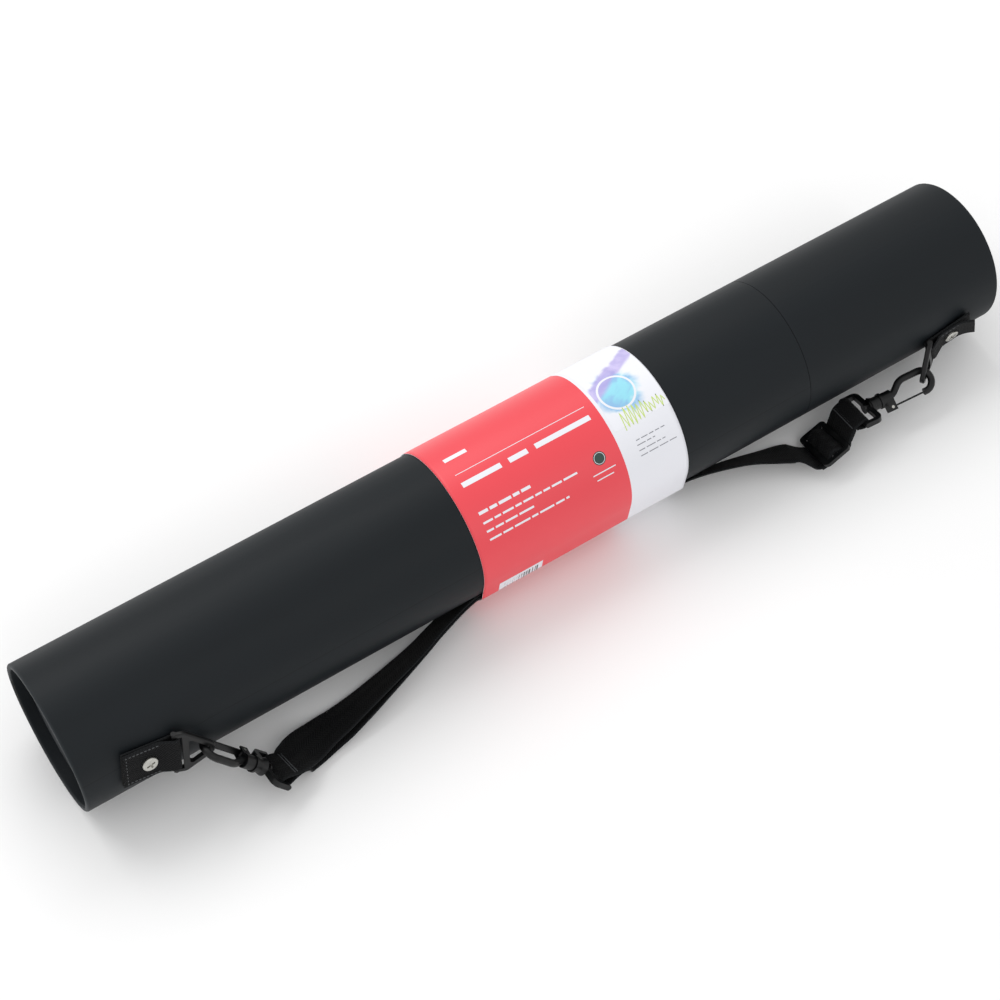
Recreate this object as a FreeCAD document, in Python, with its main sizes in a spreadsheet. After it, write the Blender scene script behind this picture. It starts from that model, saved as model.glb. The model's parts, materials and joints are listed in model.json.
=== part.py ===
"""Carrying tube for drawings: a card tube with a pull-off lid, screwed webbing tabs, D-rings,
swivel snap hooks, a webbing strap with a slider, and a paper band round the middle.

Frame: +X runs from the closed end to the lid, +Z is up, and the origin is the centre of the
closed end's recessed disc, on the tube's axis. Millimetres.
"""
import FreeCAD, Part
import os
from math import acos, asin, atan2, cos, degrees, pi, radians, sin, sqrt
from FreeCAD import Placement, Rotation, Vector

os.makedirs("parts", exist_ok=True)
doc = FreeCAD.newDocument("drawing_tube")

# ---------------------------------------------------------------- driving sizes
SIZES = {
    # tube and lid
    "tube_radius": 47.5,         # outside, over the covering
    "body_length": 505.5,        # closed rim to the seam
    "lid_length": 149.2,         # seam to the lid's rim
    "seam_gap": 0.3,             # dark line between body and lid
    "cover_thickness": 0.6,      # leatherette over the card
    "card_wall": 2.6,
    "recess_depth": 8.0,         # from each rim to its end disc
    "disc_thickness": 3.0,
    "disc_gap": 0.1,             # end disc to the card, and neck to the lid's card
    "rim_round": 1.4,
    "turn_in": 0.4,              # covering folded into each recess
    "lining_past_disc": 3.0,     # folded covering that the end disc traps
    "neck_wall": 1.8,
    "neck_glued": 60.0,          # neck inside the body
    "neck_free": 62.0,           # neck that the lid slides over
    # webbing and its tabs
    "webbing_width": 25.4,
    "ply": 1.5,                  # thickness of one layer of webbing
    "webbing_gap": 0.05,         # webbing to what it lies on
    "loop_gap": 0.3,             # webbing loop to the bar inside it
    "tab_back": 16.0,            # screw to the tab's free end
    "tab_bar": 15.6,             # screw to the ring's bar
    "tab_flat": 5.5,             # screw to where the two layers part
    # D-ring
    "ring_half_width": 16.0,
    "ring_leg": 2.8,
    "ring_bar_radius": 1.6,
    "ring_slot": 2.8,            # gap between the round bar and the crossbar
    "ring_crossbar": 3.5,
    "ring_shoulder": 5.9,        # bar to where the sides start to close in
    "ring_tip": 22.7,            # bar to the outside of the tip
    "ring_tip_radius": 6.0,
    "ring_tip_wall": 3.0,        # width of the slanted sides and of the tip
    "ring_corner": 6.0,
    "ring_eye_corner": 1.4,
    "ring_round": 0.9,
    "body_ring_lift": 18.0,      # how far each ring hangs out from the tube, in degrees
    "lid_ring_lift": 40.0,
    # binding screws
    "screw_head_radius": 4.9,
    "screw_head_height": 1.8,
    "screw_shank_radius": 1.9,
    "post_radius": 2.6,
    "post_flange_radius": 5.0,
    "post_flange_height": 1.3,
    "washer_radius": 7.0,
    "washer_height": 0.8,
    "hole_gap": 0.1,             # post to the hole it goes through
    "recess_slot": 1.1,          # width of the cross in the screw's head
    # snap hook
    "eye_radius": 6.8,           # centre line of the hook's nose
    "wire_radius": 2.3,
    "eye_length": 10.0,          # straight back arm after the nose
    "barrel_radius": 4.4,
    "barrel_length": 5.0,
    "collar_radius": 5.2,
    "collar_height": 1.6,
    "swivel_shank_radius": 2.2,
    "swivel_gap": 0.1,
    "gate_thickness": 1.1,
    "gate_width": 4.0,
    "gate_pin_radius": 1.0,
    "gate_end_gap": 0.5,         # gate's tip to the hook's nose
    "gate_side_gap": 0.2,
    "body_hook_inside": 1.8,     # centre line of the ring's tip to the centre of the hook's nose
    "lid_hook_inside": 0.7,
    # swivel base
    "base_barrel_length": 6.5,
    "base_half_width": 16.5,
    "base_thickness": 3.5,
    "base_crossbar": 3.5,
    "base_slot": 6.0,
    "base_bar_radius": 1.75,
    "strap_join": 6.8,           # bar to where the strap's two layers meet
    "strap_tail": 8.0,           # bar to the end of the loop's own piece
    "strap_gap": 0.4,            # between two pieces of the strap
    # slider
    "slider_half_width": 16.5,
    "slider_half_length": 10.0,
    "slider_thickness": 2.6,
    "slider_bar": 3.4,
    "slider_end_bar": 3.2,
    # strap and paper band
    "strap_angle": -40.0,        # where the strap lies against the tube
    "band_start": 256.1,
    "band_width": 148.0,
    "paper": 0.3,
    "band_gap": 0.12,            # band to the tube and to the strap
    # tabs' places on the tube
    "body_screw_x": 32.1,
    "lid_screw_inset": 37.0,     # from the lid's rim back to its screw
    "body_tab_angle": 11.7,      # above the horizontal, on the near side
    "lid_tab_angle": -9.4,
    "body_tab_skew": -8.0,       # each tab has turned a little on its screw
    "lid_tab_skew": -22.0,
}

sheet = doc.addObject("Spreadsheet::Sheet", "Sizes")
for row, (alias, value) in enumerate(SIZES.items(), start=1):
    sheet.set(f"A{row}", alias)
    sheet.set(f"B{row}", str(value))
    sheet.setAlias(f"B{row}", alias)
doc.recompute()


def size(alias):
    return float(sheet.get(alias))


def named(expression):
    """The expression with every size's alias pointed at the sheet."""
    words = expression.replace("(", " ( ").replace(")", " ) ").split()
    return " ".join(f"Sizes.{word}" if word in SIZES else word for word in words)


def bind(thing, **expressions):
    for prop, expression in expressions.items():
        thing.setExpression(prop, named(expression))
    return thing


# ---------------------------------------------------------------- small builders
def primitive(kind, name, place=None, **expressions):
    made = doc.addObject(f"Part::{kind}", name)
    bind(made, **expressions)
    made.Placement = place or Placement()
    return made


def cylinder(name, radius, height, place=None):
    return primitive("Cylinder", name, place, Radius=radius, Height=height)


def box(name, length, width, height, place=None):
    return primitive("Box", name, place, Length=length, Width=width, Height=height)


def cut(name, base, tool, place=None):
    made = doc.addObject("Part::Cut", name)
    made.Base, made.Tool = base, tool
    made.Placement = place or Placement()
    return made


def fuse(name, pieces, place=None):
    made = doc.addObject("Part::MultiFuse", name)
    made.Shapes = pieces
    made.Placement = place or Placement()
    return made


def common(name, pieces, place=None):
    made = doc.addObject("Part::MultiCommon", name)
    made.Shapes = pieces
    made.Placement = place or Placement()
    return made


def rounded(name, base, radius, wanted, place=None):
    """Rounds the edges of base that wanted(edge) picks."""
    doc.recompute()
    made = doc.addObject("Part::Fillet", name)
    made.Base = base
    picked = [i for i, edge in enumerate(base.Shape.Edges, start=1) if wanted(edge)]
    made.Edges = [(i, radius, radius) for i in picked]
    made.Placement = place or Placement()
    return made


def at(x=0.0, y=0.0, z=0.0, turn=None):
    return Placement(Vector(x, y, z), turn or Rotation())


ALONG_X = Rotation(Vector(0, 1, 0), 90)
ALONG_Y = Rotation(Vector(1, 0, 0), -90)
NODES = []


def node(thing, label):
    """Marks a finished piece: its Label is the name of its file."""
    thing.Label = label
    NODES.append(thing)
    return thing


def body_with_sketch(name, plane="XY_Plane"):
    body = doc.addObject("PartDesign::Body", name)
    doc.recompute()
    return body, sketch_on(body, name + "_outline", plane)


def sketch_on(body, name, plane="XY_Plane"):
    support = next(f for f in body.Origin.OriginFeatures if f.Role == plane)
    sketch = body.newObject("Sketcher::SketchObject", name)
    sketch.AttachmentSupport = [(support, "")]
    sketch.MapMode = "FlatFace"
    return sketch


def polygon(sketch, points):
    corners = [Vector(x, y, 0) for x, y in points]
    for a, b in zip(corners, corners[1:] + corners[:1]):
        sketch.addGeometry(Part.LineSegment(a, b), False)


def pad(body, name, sketch, thickness):
    made = body.newObject("PartDesign::Pad", name)
    made.Profile = sketch
    made.SideType = "Symmetric"
    bind(made, Length=thickness)
    doc.recompute()
    return made


def pocket(body, name, sketch):
    """Cuts right through, and makes sure that something was cut."""
    before = body.Shape.Volume
    made = body.newObject("PartDesign::Pocket", name)
    made.Profile = sketch
    made.Type = "ThroughAll"
    made.SideType = "Symmetric"
    doc.recompute()
    assert body.Shape.Volume < before - 1e-3, f"{name} cuts nothing"
    return made


def soften(body, name, radius, wanted):
    """Rounds edges of the body's latest feature."""
    tip = body.Tip
    names = [f"Edge{i}" for i, edge in enumerate(tip.Shape.Edges, start=1) if wanted(edge)]
    made = body.newObject("PartDesign::Fillet", name)
    made.Base = (tip, names)
    bind(made, Radius=radius)
    doc.recompute()
    return made


# ---------------------------------------------------------------- worked-out places
tube_radius = size("tube_radius")
body_rim_x = -size("recess_depth")
seam_x = body_rim_x + size("body_length")
lid_start_x = seam_x + size("seam_gap")
lid_rim_x = lid_start_x + size("lid_length")
card_radius = tube_radius - size("cover_thickness")
bore_radius = card_radius - size("card_wall")
neck_radius = bore_radius - size("disc_gap")
neck_start_x = seam_x - size("neck_glued")
lid_screw_x = lid_rim_x - size("lid_screw_inset")
webbing_z = tube_radius + size("webbing_gap")
half_webbing = size("webbing_width") / 2
bar_z = webbing_z + size("ply") + size("loop_gap") + size("ring_bar_radius")


def axes_place(origin, x_axis, z_axis):
    """A placement whose local X and Z point along the two given directions."""
    y_axis = z_axis.cross(x_axis)
    return Placement(origin, Rotation(x_axis, y_axis, z_axis, "ZXY"))


def outward(angle):
    return Vector(0, -cos(radians(angle)), sin(radians(angle)))


def upward(angle):
    return Vector(0, sin(radians(angle)), cos(radians(angle)))


def side_place(screw_x, angle, skew, way):
    """Local frame of a tab: origin on the tube's axis under the screw, Z out through the
    screw, X along the tab towards its ring. way is +1 or -1 along the tube."""
    along = Vector(way, 0, 0) * cos(radians(skew)) + upward(angle) * sin(radians(skew))
    return axes_place(Vector(screw_x, 0, 0), along, outward(angle))


# ---------------------------------------------------------------- tube, lid and neck
def card_tube(label, start_x, length_expression):
    outer = cylinder(label + "_outer", "tube_radius - cover_thickness", length_expression)
    bore = cylinder(label + "_bore", "tube_radius - cover_thickness - card_wall", length_expression)
    return cut(label + "_blank", outer, bore, at(start_x, turn=ALONG_X))


def cover(label, rim_x, way, length_expression):
    """Leatherette sleeve: over the card, round the rim and into the recess, past the disc."""
    turn = ALONG_X if way > 0 else Rotation(Vector(0, 1, 0), -90)
    outer = cylinder(label + "_outer", "tube_radius", length_expression)
    core = cylinder(label + "_core", "tube_radius - cover_thickness", length_expression,
                    at(z=size("cover_thickness")))
    sleeve = cut(label + "_sleeve", outer, core)
    inside = "tube_radius - cover_thickness - card_wall - turn_in"
    lining_length = "recess_depth - cover_thickness + disc_thickness + lining_past_disc"
    hollow = cylinder(label + "_hollow", inside, "cover_thickness", at(z=0))
    ring = cut(label + "_ring", sleeve, hollow)
    lining_outer = cylinder(label + "_lining_outer", "tube_radius - cover_thickness - card_wall",
                            lining_length, at(z=size("cover_thickness")))
    lining_bore = cylinder(label + "_lining_bore", inside, lining_length, at(z=size("cover_thickness")))
    lining = cut(label + "_lining", lining_outer, lining_bore)
    whole = fuse(label + "_whole", [ring, lining])

    def at_rim(edge):
        middle = edge.BoundBox.Center
        return abs(middle.z) < 1e-6 and edge.BoundBox.ZLength < 1e-6

    soft = rounded(label + "_soft", whole, min(size("rim_round"), size("card_wall") / 2), at_rim)
    return soft, at(rim_x, turn=turn)


def end_disc(label, x, way):
    turn = ALONG_X if way > 0 else Rotation(Vector(0, 1, 0), -90)
    return cylinder(label, "tube_radius - cover_thickness - card_wall - turn_in - disc_gap",
                    "disc_thickness", at(x, turn=turn))


def with_hole(blank, label, side, radius_expression, place=None):
    """Drills the hole for the binding post through the near wall."""
    drill = cylinder(label + "_drill", radius_expression, "tube_radius", side)
    return node(cut(label, blank, drill, place), label)


body_side = side_place(size("body_screw_x"), size("body_tab_angle"), size("body_tab_skew"), 1)
lid_side = side_place(lid_screw_x, size("lid_tab_angle"), size("lid_tab_skew"), -1)
HOLE = "post_radius + hole_gap"

body_card = card_tube("body_card", body_rim_x + size("cover_thickness"), "body_length - cover_thickness")
with_hole(body_card, "body_tube", body_side, HOLE)
lid_card = card_tube("lid_card", lid_start_x, "lid_length - cover_thickness")
with_hole(lid_card, "lid_tube", lid_side, HOLE)

body_soft, body_cover_place = cover("body_skin", body_rim_x, 1, "body_length")
body_soft.Placement = body_cover_place
with_hole(body_soft, "body_cover", body_side, HOLE)
lid_soft, lid_cover_place = cover("lid_skin", lid_rim_x, -1, "lid_length")
lid_soft.Placement = lid_cover_place
with_hole(lid_soft, "lid_cover", lid_side, HOLE)

node(end_disc("body_end_disc", 0, 1), "body_end_disc")
node(end_disc("lid_end_disc", lid_rim_x - size("recess_depth"), -1), "lid_end_disc")

neck_outer = cylinder("neck_outer", "tube_radius - cover_thickness - card_wall - disc_gap",
                      "neck_glued + neck_free")
neck_bore = cylinder("neck_bore", "tube_radius - cover_thickness - card_wall - disc_gap - neck_wall",
                     "neck_glued + neck_free")
node(cut("neck_sleeve", neck_outer, neck_bore, at(neck_start_x, turn=ALONG_X)), "neck_sleeve")


# ---------------------------------------------------------------- webbing loops
def loop_profile(sketch, bar_x, bar_height, bar_radius, tail_x, low, join_x):
    """Side view of two layers of webbing that part to go round a bar and lie together again
    between join_x and tail_x. low is the height of the lower layer's underside."""
    ply = size("ply")
    inner = bar_radius + size("loop_gap")
    outer = inner + ply
    centre = Vector(bar_x, bar_height, 0)
    way = 1 if bar_x > join_x else -1

    def ring(radius):
        low_end = Vector(bar_x, bar_height - radius, 0)
        far = Vector(bar_x + way * radius, bar_height, 0)
        high_end = Vector(bar_x, bar_height + radius, 0)
        sketch.addGeometry(Part.Arc(low_end, far, high_end), False)
        return low_end, high_end

    low_end, high_end = ring(outer)
    top_join = Vector(join_x, low + 2 * ply, 0)
    corners = [high_end, top_join, Vector(tail_x, low + 2 * ply, 0), Vector(tail_x, low, 0)]
    if abs(low_end.y - low) > 1e-6:
        corners.append(Vector(join_x, low, 0))
    corners.append(low_end)
    for a, b in zip(corners, corners[1:]):
        sketch.addGeometry(Part.LineSegment(a, b), False)
    low_end, high_end = ring(inner)
    meet = Vector(join_x + way * 2 * ply, low + ply, 0)
    sketch.addGeometry(Part.LineSegment(high_end, meet), False)
    sketch.addGeometry(Part.LineSegment(meet, low_end), False)


def webbing_loop(label, place, **sizes):
    body, sketch = body_with_sketch(label, "XZ_Plane")
    loop_profile(sketch, **sizes)
    pad(body, label + "_pad", sketch, "webbing_width")
    body.Placement = place
    return body


def tab(label, side):
    """Doubled webbing, stiff and flat under the screw, with a loop round the ring's bar."""
    loop = webbing_loop(label + "_loop", Placement(), bar_x=size("tab_bar"), bar_height=bar_z,
                        bar_radius=size("ring_bar_radius"), tail_x=-size("tab_back"),
                        low=webbing_z, join_x=size("tab_flat"))
    drill = cylinder(label + "_drill", HOLE, "2 * tube_radius")
    return node(cut(label, loop, drill, side), label)


tab("body_tab", body_side)
tab("lid_tab", lid_side)


# ---------------------------------------------------------------- D-rings
crossbar_start = size("ring_bar_radius") + size("ring_slot")
crossbar_end = crossbar_start + size("ring_crossbar")
tip_centre = size("ring_tip") - size("ring_tip_radius")
tip_wire = size("ring_tip_radius") - size("ring_tip_wall") / 2


def on_tip(radius, angle):
    return Vector(tip_centre + radius * cos(angle), radius * sin(angle), 0)


def mirrored(point):
    return Vector(point.x, -point.y, 0)


def upright(edge):
    return edge.BoundBox.ZLength > size("ring_bar_radius") and edge.BoundBox.XLength < 1e-6


def ring_place(side, lift):
    """Frame of a ring: origin on its bar's axis, +X towards its tip."""
    return side * at(size("tab_bar"), 0, bar_z, Rotation(Vector(0, 1, 0), -lift))


def d_ring(label, place):
    """Flat ring with a crossbar, whose sides close in to a round tip. The webbing's bar is round,
    so that the ring swings in its loop."""
    half, outer = size("ring_half_width"), size("ring_tip_radius")
    inner = outer - size("ring_tip_wall")
    start = -size("ring_bar_radius")
    shoulder = Vector(size("ring_shoulder"), half, 0)
    reach = shoulder - Vector(tip_centre, 0, 0)
    turn = atan2(reach.y, reach.x) - acos(outer / reach.Length)
    tangent = on_tip(outer, turn)

    body, sketch = body_with_sketch(label + "_flat")
    corners = [tangent, shoulder, Vector(start, half, 0), Vector(start, -half, 0), mirrored(shoulder),
               mirrored(tangent)]
    for a, b in zip(corners, corners[1:]):
        sketch.addGeometry(Part.LineSegment(a, b), False)
    sketch.addGeometry(Part.Arc(mirrored(tangent), on_tip(outer, 0), tangent), False)
    pad(body, label + "_plate", sketch, "2 * ring_bar_radius")
    soften(body, label + "_shoulders", "ring_corner",
           lambda edge: upright(edge) and abs(edge.BoundBox.XMin - shoulder.x) < 1e-3)
    soften(body, label + "_soft", "ring_round", lambda edge: edge.BoundBox.ZLength < 1e-6)

    slot = sketch_on(body, label + "_slot")
    clear = half - size("ring_leg")
    polygon(slot, [(start - 1, -clear), (crossbar_start, -clear),
                   (crossbar_start, clear), (start - 1, clear)])
    pocket(body, label + "_slot_cut", slot)
    eye_sketch = sketch_on(body, label + "_eye")
    inside = on_tip(inner, turn)
    slope = shoulder - tangent
    corner = inside + slope * ((crossbar_end - inside.x) / slope.x)
    for a, b in ((corner, inside), (mirrored(inside), mirrored(corner)), (mirrored(corner), corner)):
        eye_sketch.addGeometry(Part.LineSegment(a, b), False)
    eye_sketch.addGeometry(Part.Arc(inside, on_tip(inner, 0), mirrored(inside)), False)
    pocket(body, label + "_eye_cut", eye_sketch)
    soften(body, label + "_eye_corners", "ring_eye_corner",
           lambda edge: upright(edge) and abs(edge.BoundBox.XMin - crossbar_end) < 1e-3)
    bar = cylinder(label + "_bar", "ring_bar_radius", "2 * ring_half_width", at(0, -half, turn=ALONG_Y))
    return node(fuse(label, [body, bar], place), label)


body_ring_place = ring_place(body_side, size("body_ring_lift"))
lid_ring_place = ring_place(lid_side, size("lid_ring_lift"))
d_ring("body_ring", body_ring_place)
d_ring("lid_ring", lid_ring_place)


# ---------------------------------------------------------------- binding screws
bore_sag = bore_radius - sqrt(bore_radius ** 2 - size("washer_radius") ** 2)
washer_top = bore_radius - bore_sag - 0.02
head_seat = webbing_z + 2 * size("ply")


def fastening(prefix, side):
    """Screw from outside, barrel post from inside, and a washer under the post's flange."""
    washer_low = washer_top - size("washer_height")
    disc = cylinder(prefix + "_washer_disc", "washer_radius", "washer_height", at(z=washer_low))
    hole = cylinder(prefix + "_washer_hole", HOLE, "washer_height", at(z=washer_low))
    node(cut(prefix + "_washer", disc, hole, side), prefix + "_washer")

    flange_low = washer_low - size("post_flange_height")
    flange = cylinder(prefix + "_flange", "post_flange_radius", "post_flange_height", at(z=flange_low))
    barrel = cylinder(prefix + "_barrel", "post_radius", "post_flange_height", at(z=flange_low))
    barrel.setExpression("Height", f"{head_seat - size('hole_gap') - flange_low:.6f}")
    solid = fuse(prefix + "_post_solid", [flange, barrel])
    thread = cylinder(prefix + "_thread", "screw_shank_radius", "2 * tube_radius",
                      at(z=flange_low + size("post_flange_height")))
    node(cut(prefix + "_post", solid, thread, side), prefix + "_post")

    head = cylinder(prefix + "_head", "screw_head_radius", "screw_head_height", at(z=head_seat))
    dome = rounded(prefix + "_dome", head, size("screw_head_height") * 0.55,
                   lambda edge: edge.BoundBox.ZMin > head_seat + 0.5 and edge.BoundBox.ZLength < 1e-6)
    shank_low = flange_low + size("post_flange_height") + 0.5
    shank = cylinder(prefix + "_shank", "screw_shank_radius - hole_gap / 2", "ply", at(z=shank_low))
    shank.setExpression("Height", f"{head_seat + 0.5 - shank_low:.6f}")
    whole = fuse(prefix + "_screw_solid", [dome, shank])
    depth = size("screw_head_height") * 0.6
    reach = size("screw_head_radius") * 1.1
    slot_z = head_seat + size("screw_head_height") - depth
    half_slot = size("recess_slot") / 2
    slot_a = box(prefix + "_slot_a", "screw_head_radius * 1.1", "recess_slot", "screw_head_height",
                 at(-reach / 2, -half_slot, slot_z))
    slot_b = box(prefix + "_slot_b", "recess_slot", "screw_head_radius * 1.1", "screw_head_height",
                 at(-half_slot, -reach / 2, slot_z))
    cross = fuse(prefix + "_cross", [slot_a, slot_b], at(turn=Rotation(Vector(0, 0, 1), 20)))
    node(cut(prefix + "_screw", whole, cross, side), prefix + "_screw")


fastening("body_tab", body_side)
fastening("lid_tab", lid_side)


# ---------------------------------------------------------------- snap hooks
# Local frame of a hook: origin at the centre of the nose, +X towards the strap, XY its own plane,
# the back arm on +Y and the gate on -Y.
eye = size("eye_radius")
bend = 10.0                                 # radius of the back arm's two bends
bend_turn = 40.0
slant = (eye - 2 * bend * (1 - cos(radians(bend_turn)))) / sin(radians(bend_turn))
neck_x = size("eye_length") + 2 * bend * sin(radians(bend_turn)) + slant * cos(radians(bend_turn))
barrel_end_x = neck_x + size("barrel_length")
collar_end_x = barrel_end_x + size("collar_height")
base_start_x = collar_end_x + size("swivel_gap") * 2
frame_start_x = base_start_x + size("base_barrel_length")
strap_bar_x = frame_start_x + size("base_crossbar") + size("base_slot") + size("base_bar_radius")
gate_pin_x = neck_x + 0.5
nose_end_x = 1.5


def hook(label, place):
    body, path = body_with_sketch(label + "_wire")
    turn = radians(bend_turn)
    half = turn / 2
    start = Vector(nose_end_x, -eye, 0)
    path.addGeometry(Part.LineSegment(start, Vector(0, -eye, 0)), False)
    path.addGeometry(Part.Arc(Vector(0, -eye, 0), Vector(-eye, 0, 0), Vector(0, eye, 0)), False)
    first = Vector(size("eye_length"), eye, 0)
    path.addGeometry(Part.LineSegment(Vector(0, eye, 0), first), False)
    bent = first + Vector(bend * sin(turn), -bend * (1 - cos(turn)), 0)
    through = first + Vector(bend * sin(half), -bend * (1 - cos(half)), 0)
    path.addGeometry(Part.Arc(first, through, bent), False)
    last = Vector(neck_x, 0, 0)
    unbent = last - Vector(bend * sin(turn), -bend * (1 - cos(turn)), 0)
    back = last - Vector(bend * sin(half), -bend * (1 - cos(half)), 0)
    path.addGeometry(Part.LineSegment(bent, unbent), False)
    path.addGeometry(Part.Arc(unbent, back, last), False)
    section = sketch_on(body, label + "_section", "YZ_Plane")
    section.AttachmentOffset = at(0, 0, nose_end_x)
    section.addGeometry(Part.Circle(Vector(-eye, 0, 0), Vector(0, 0, 1), size("wire_radius")), False)
    doc.recompute()
    pipe = body.newObject("PartDesign::AdditivePipe", label + "_pipe")
    pipe.Profile = section
    pipe.Spine = path
    doc.recompute()
    barrel = cylinder(label + "_barrel", "barrel_radius", "barrel_length + 2", at(neck_x - 2, turn=ALONG_X))
    collar = cylinder(label + "_collar", "collar_radius", "collar_height", at(barrel_end_x, turn=ALONG_X))
    shank_length = base_start_x - collar_end_x + size("base_barrel_length") + size("base_crossbar")
    shank = cylinder(label + "_shank", "swivel_shank_radius", "ply", at(collar_end_x, turn=ALONG_X))
    shank.setExpression("Height", f"{shank_length + size('swivel_gap'):.6f}")
    rivet = cylinder(label + "_rivet", "swivel_shank_radius + 1.1", "1.2",
                     at(collar_end_x + shank_length + size("swivel_gap"), turn=ALONG_X))
    cheek = size("gate_width") + 2 * size("gate_side_gap") + 2 * 1.1
    lug = box(label + "_lug", "5.4", "eye_radius + 2.4", "1", at(neck_x - 2.2, -eye - 2.4, -cheek / 2))
    lug.setExpression("Height", f"{cheek:.6f}")
    solid = fuse(label + "_solid", [body, barrel, collar, shank, rivet, lug])
    gap = size("gate_width") + 2 * size("gate_side_gap")
    slot = box(label + "_slot", "5.0", "eye_radius", "1", at(neck_x - 2.6, -eye - 3.0, -gap / 2))
    slot.setExpression("Height", f"{gap:.6f}")
    hole = cylinder(label + "_pin_hole", "gate_pin_radius", "20", at(gate_pin_x, -eye, -10))
    tools = fuse(label + "_tools", [slot, hole])
    node(cut(label, solid, tools, place), label)

    pin = cylinder(label + "_pin", "gate_pin_radius - 0.02", "1", place * at(gate_pin_x, -eye, -cheek / 2))
    pin.setExpression("Height", f"{cheek:.6f}")
    node(pin, label + "_pin")

    leaf_start = nose_end_x + size("gate_end_gap")
    half_leaf = size("gate_thickness") / 2
    leaf = box(label + "_leaf", "1", "gate_thickness", "gate_width",
               at(leaf_start, -eye - half_leaf, -size("gate_width") / 2))
    leaf.setExpression("Length", f"{gate_pin_x - leaf_start:.6f}")
    knuckle = cylinder(label + "_knuckle", "gate_pin_radius + 0.8", "gate_width",
                       at(gate_pin_x, -eye, -size("gate_width") / 2))
    gate = fuse(label + "_gate_solid", [leaf, knuckle])
    gate_hole = cylinder(label + "_gate_hole", "gate_pin_radius + 0.05", "20", at(gate_pin_x, -eye, -10))
    node(cut(label + "_gate", gate, gate_hole, place), label + "_gate")


def swivel_base(label, place):
    """Turning barrel and the slotted frame that the strap loops through."""
    half = size("base_half_width")
    barrel = cylinder(label + "_barrel", "barrel_radius", "base_barrel_length + 1",
                      at(base_start_x, turn=ALONG_X))
    shoulder = primitive("Cone", label + "_shoulder", at(frame_start_x - 3.0, turn=ALONG_X),
                         Radius1="barrel_radius", Radius2="barrel_radius * 1.25", Height="3")
    plate = box(label + "_plate", "base_crossbar + base_slot + base_bar_radius", "2 * base_half_width",
                "base_thickness", at(frame_start_x, -half, -size("base_thickness") / 2))

    def corners(edge):
        tall = edge.BoundBox.ZLength > size("base_thickness") * 0.9 and edge.BoundBox.XLength < 1e-6
        return tall and edge.BoundBox.XMin < frame_start_x + 0.1

    soft = rounded(label + "_soft", plate, size("base_thickness") * 1.2, corners)
    solid = fuse(label + "_solid", [barrel, shoulder, soft])
    slot_x = frame_start_x + size("base_crossbar")
    reach = half - size("ring_leg")
    slot = box(label + "_slot", "base_slot + 2 * base_bar_radius", "2 * base_half_width - 2 * ring_leg", "20",
               at(slot_x, -reach, -10))
    bore = cylinder(label + "_bore", "swivel_shank_radius + swivel_gap", "50",
                    at(base_start_x - 1, turn=ALONG_X))
    bore.setExpression("Height", f"{slot_x + 1 - base_start_x + 1:.6f}")
    frame = cut(label + "_frame", solid, fuse(label + "_tools", [slot, bore]))
    bar = cylinder(label + "_bar", "base_bar_radius", "2 * base_half_width",
                   at(strap_bar_x, -half, turn=ALONG_Y))
    node(fuse(label, [frame, bar], place), label)


def strap_end(label, place):
    """The strap's loop round a base's bar."""
    loop = webbing_loop(label, place, bar_x=0.0, bar_height=0.0, bar_radius=size("base_bar_radius"),
                        tail_x=size("strap_tail"), low=-size("ply"), join_x=size("strap_join"))
    return node(loop, label)


def square_to(along, direction):
    """The part of direction that is at right angles to along, with unit length."""
    across = direction - along * direction.dot(along)
    across.normalize()
    return across


def hook_place(ring, around, inside, towards, gate):
    """Hangs a hook on its ring: around is the angle on the ring's tip, inside how far the tip's
    centre line stands from the nose's centre, towards the way the hook points and gate the side
    that its gate is on. Returns the hook's frame."""
    held = ring.multVec(on_tip(tip_wire, radians(around)))
    along = Vector(towards)
    along.normalize()
    return axes_place(held + along * inside, along, square_to(along, gate).cross(along))


def turned(place, width):
    """The same place, turned about its own X until its Y follows width."""
    along = place.Rotation.multVec(Vector(1, 0, 0))
    return axes_place(place.Base, along, along.cross(square_to(along, width)))


def loop_place(base, towards):
    """Frame of a strap loop: origin on the base's bar, +Y along the bar, +X along the strap."""
    bar = base.Rotation.multVec(Vector(0, 1, 0))
    along = square_to(bar, towards)
    return axes_place(base.multVec(Vector(strap_bar_x, 0, 0)), along, along.cross(bar))


body_hook_place = hook_place(body_ring_place, -45, size("body_hook_inside"),
                             Vector(0.618, -0.28, -0.733), Vector(0.105, 0.953, -0.286))
lid_hook_place = hook_place(lid_ring_place, -3, size("lid_hook_inside"),
                            Vector(-0.992, 0.09, -0.06), Vector(0.015, -0.892, -0.449))
body_base_place = turned(body_hook_place, Vector(-0.035, -0.944, 0.33))
lid_base_place = turned(lid_hook_place, Vector(0.19, -0.9, 0.39))
body_loop_place = loop_place(body_base_place, Vector(0.92, 0.22, -0.33))
lid_loop_place = loop_place(lid_base_place, Vector(-0.936, -0.195, -0.292))
hook("body_hook", body_hook_place)
hook("lid_hook", lid_hook_place)
swivel_base("body_swivel", body_base_place)
swivel_base("lid_swivel", lid_base_place)
strap_end("body_strap_loop", body_loop_place)
strap_end("lid_strap_loop", lid_loop_place)


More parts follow.
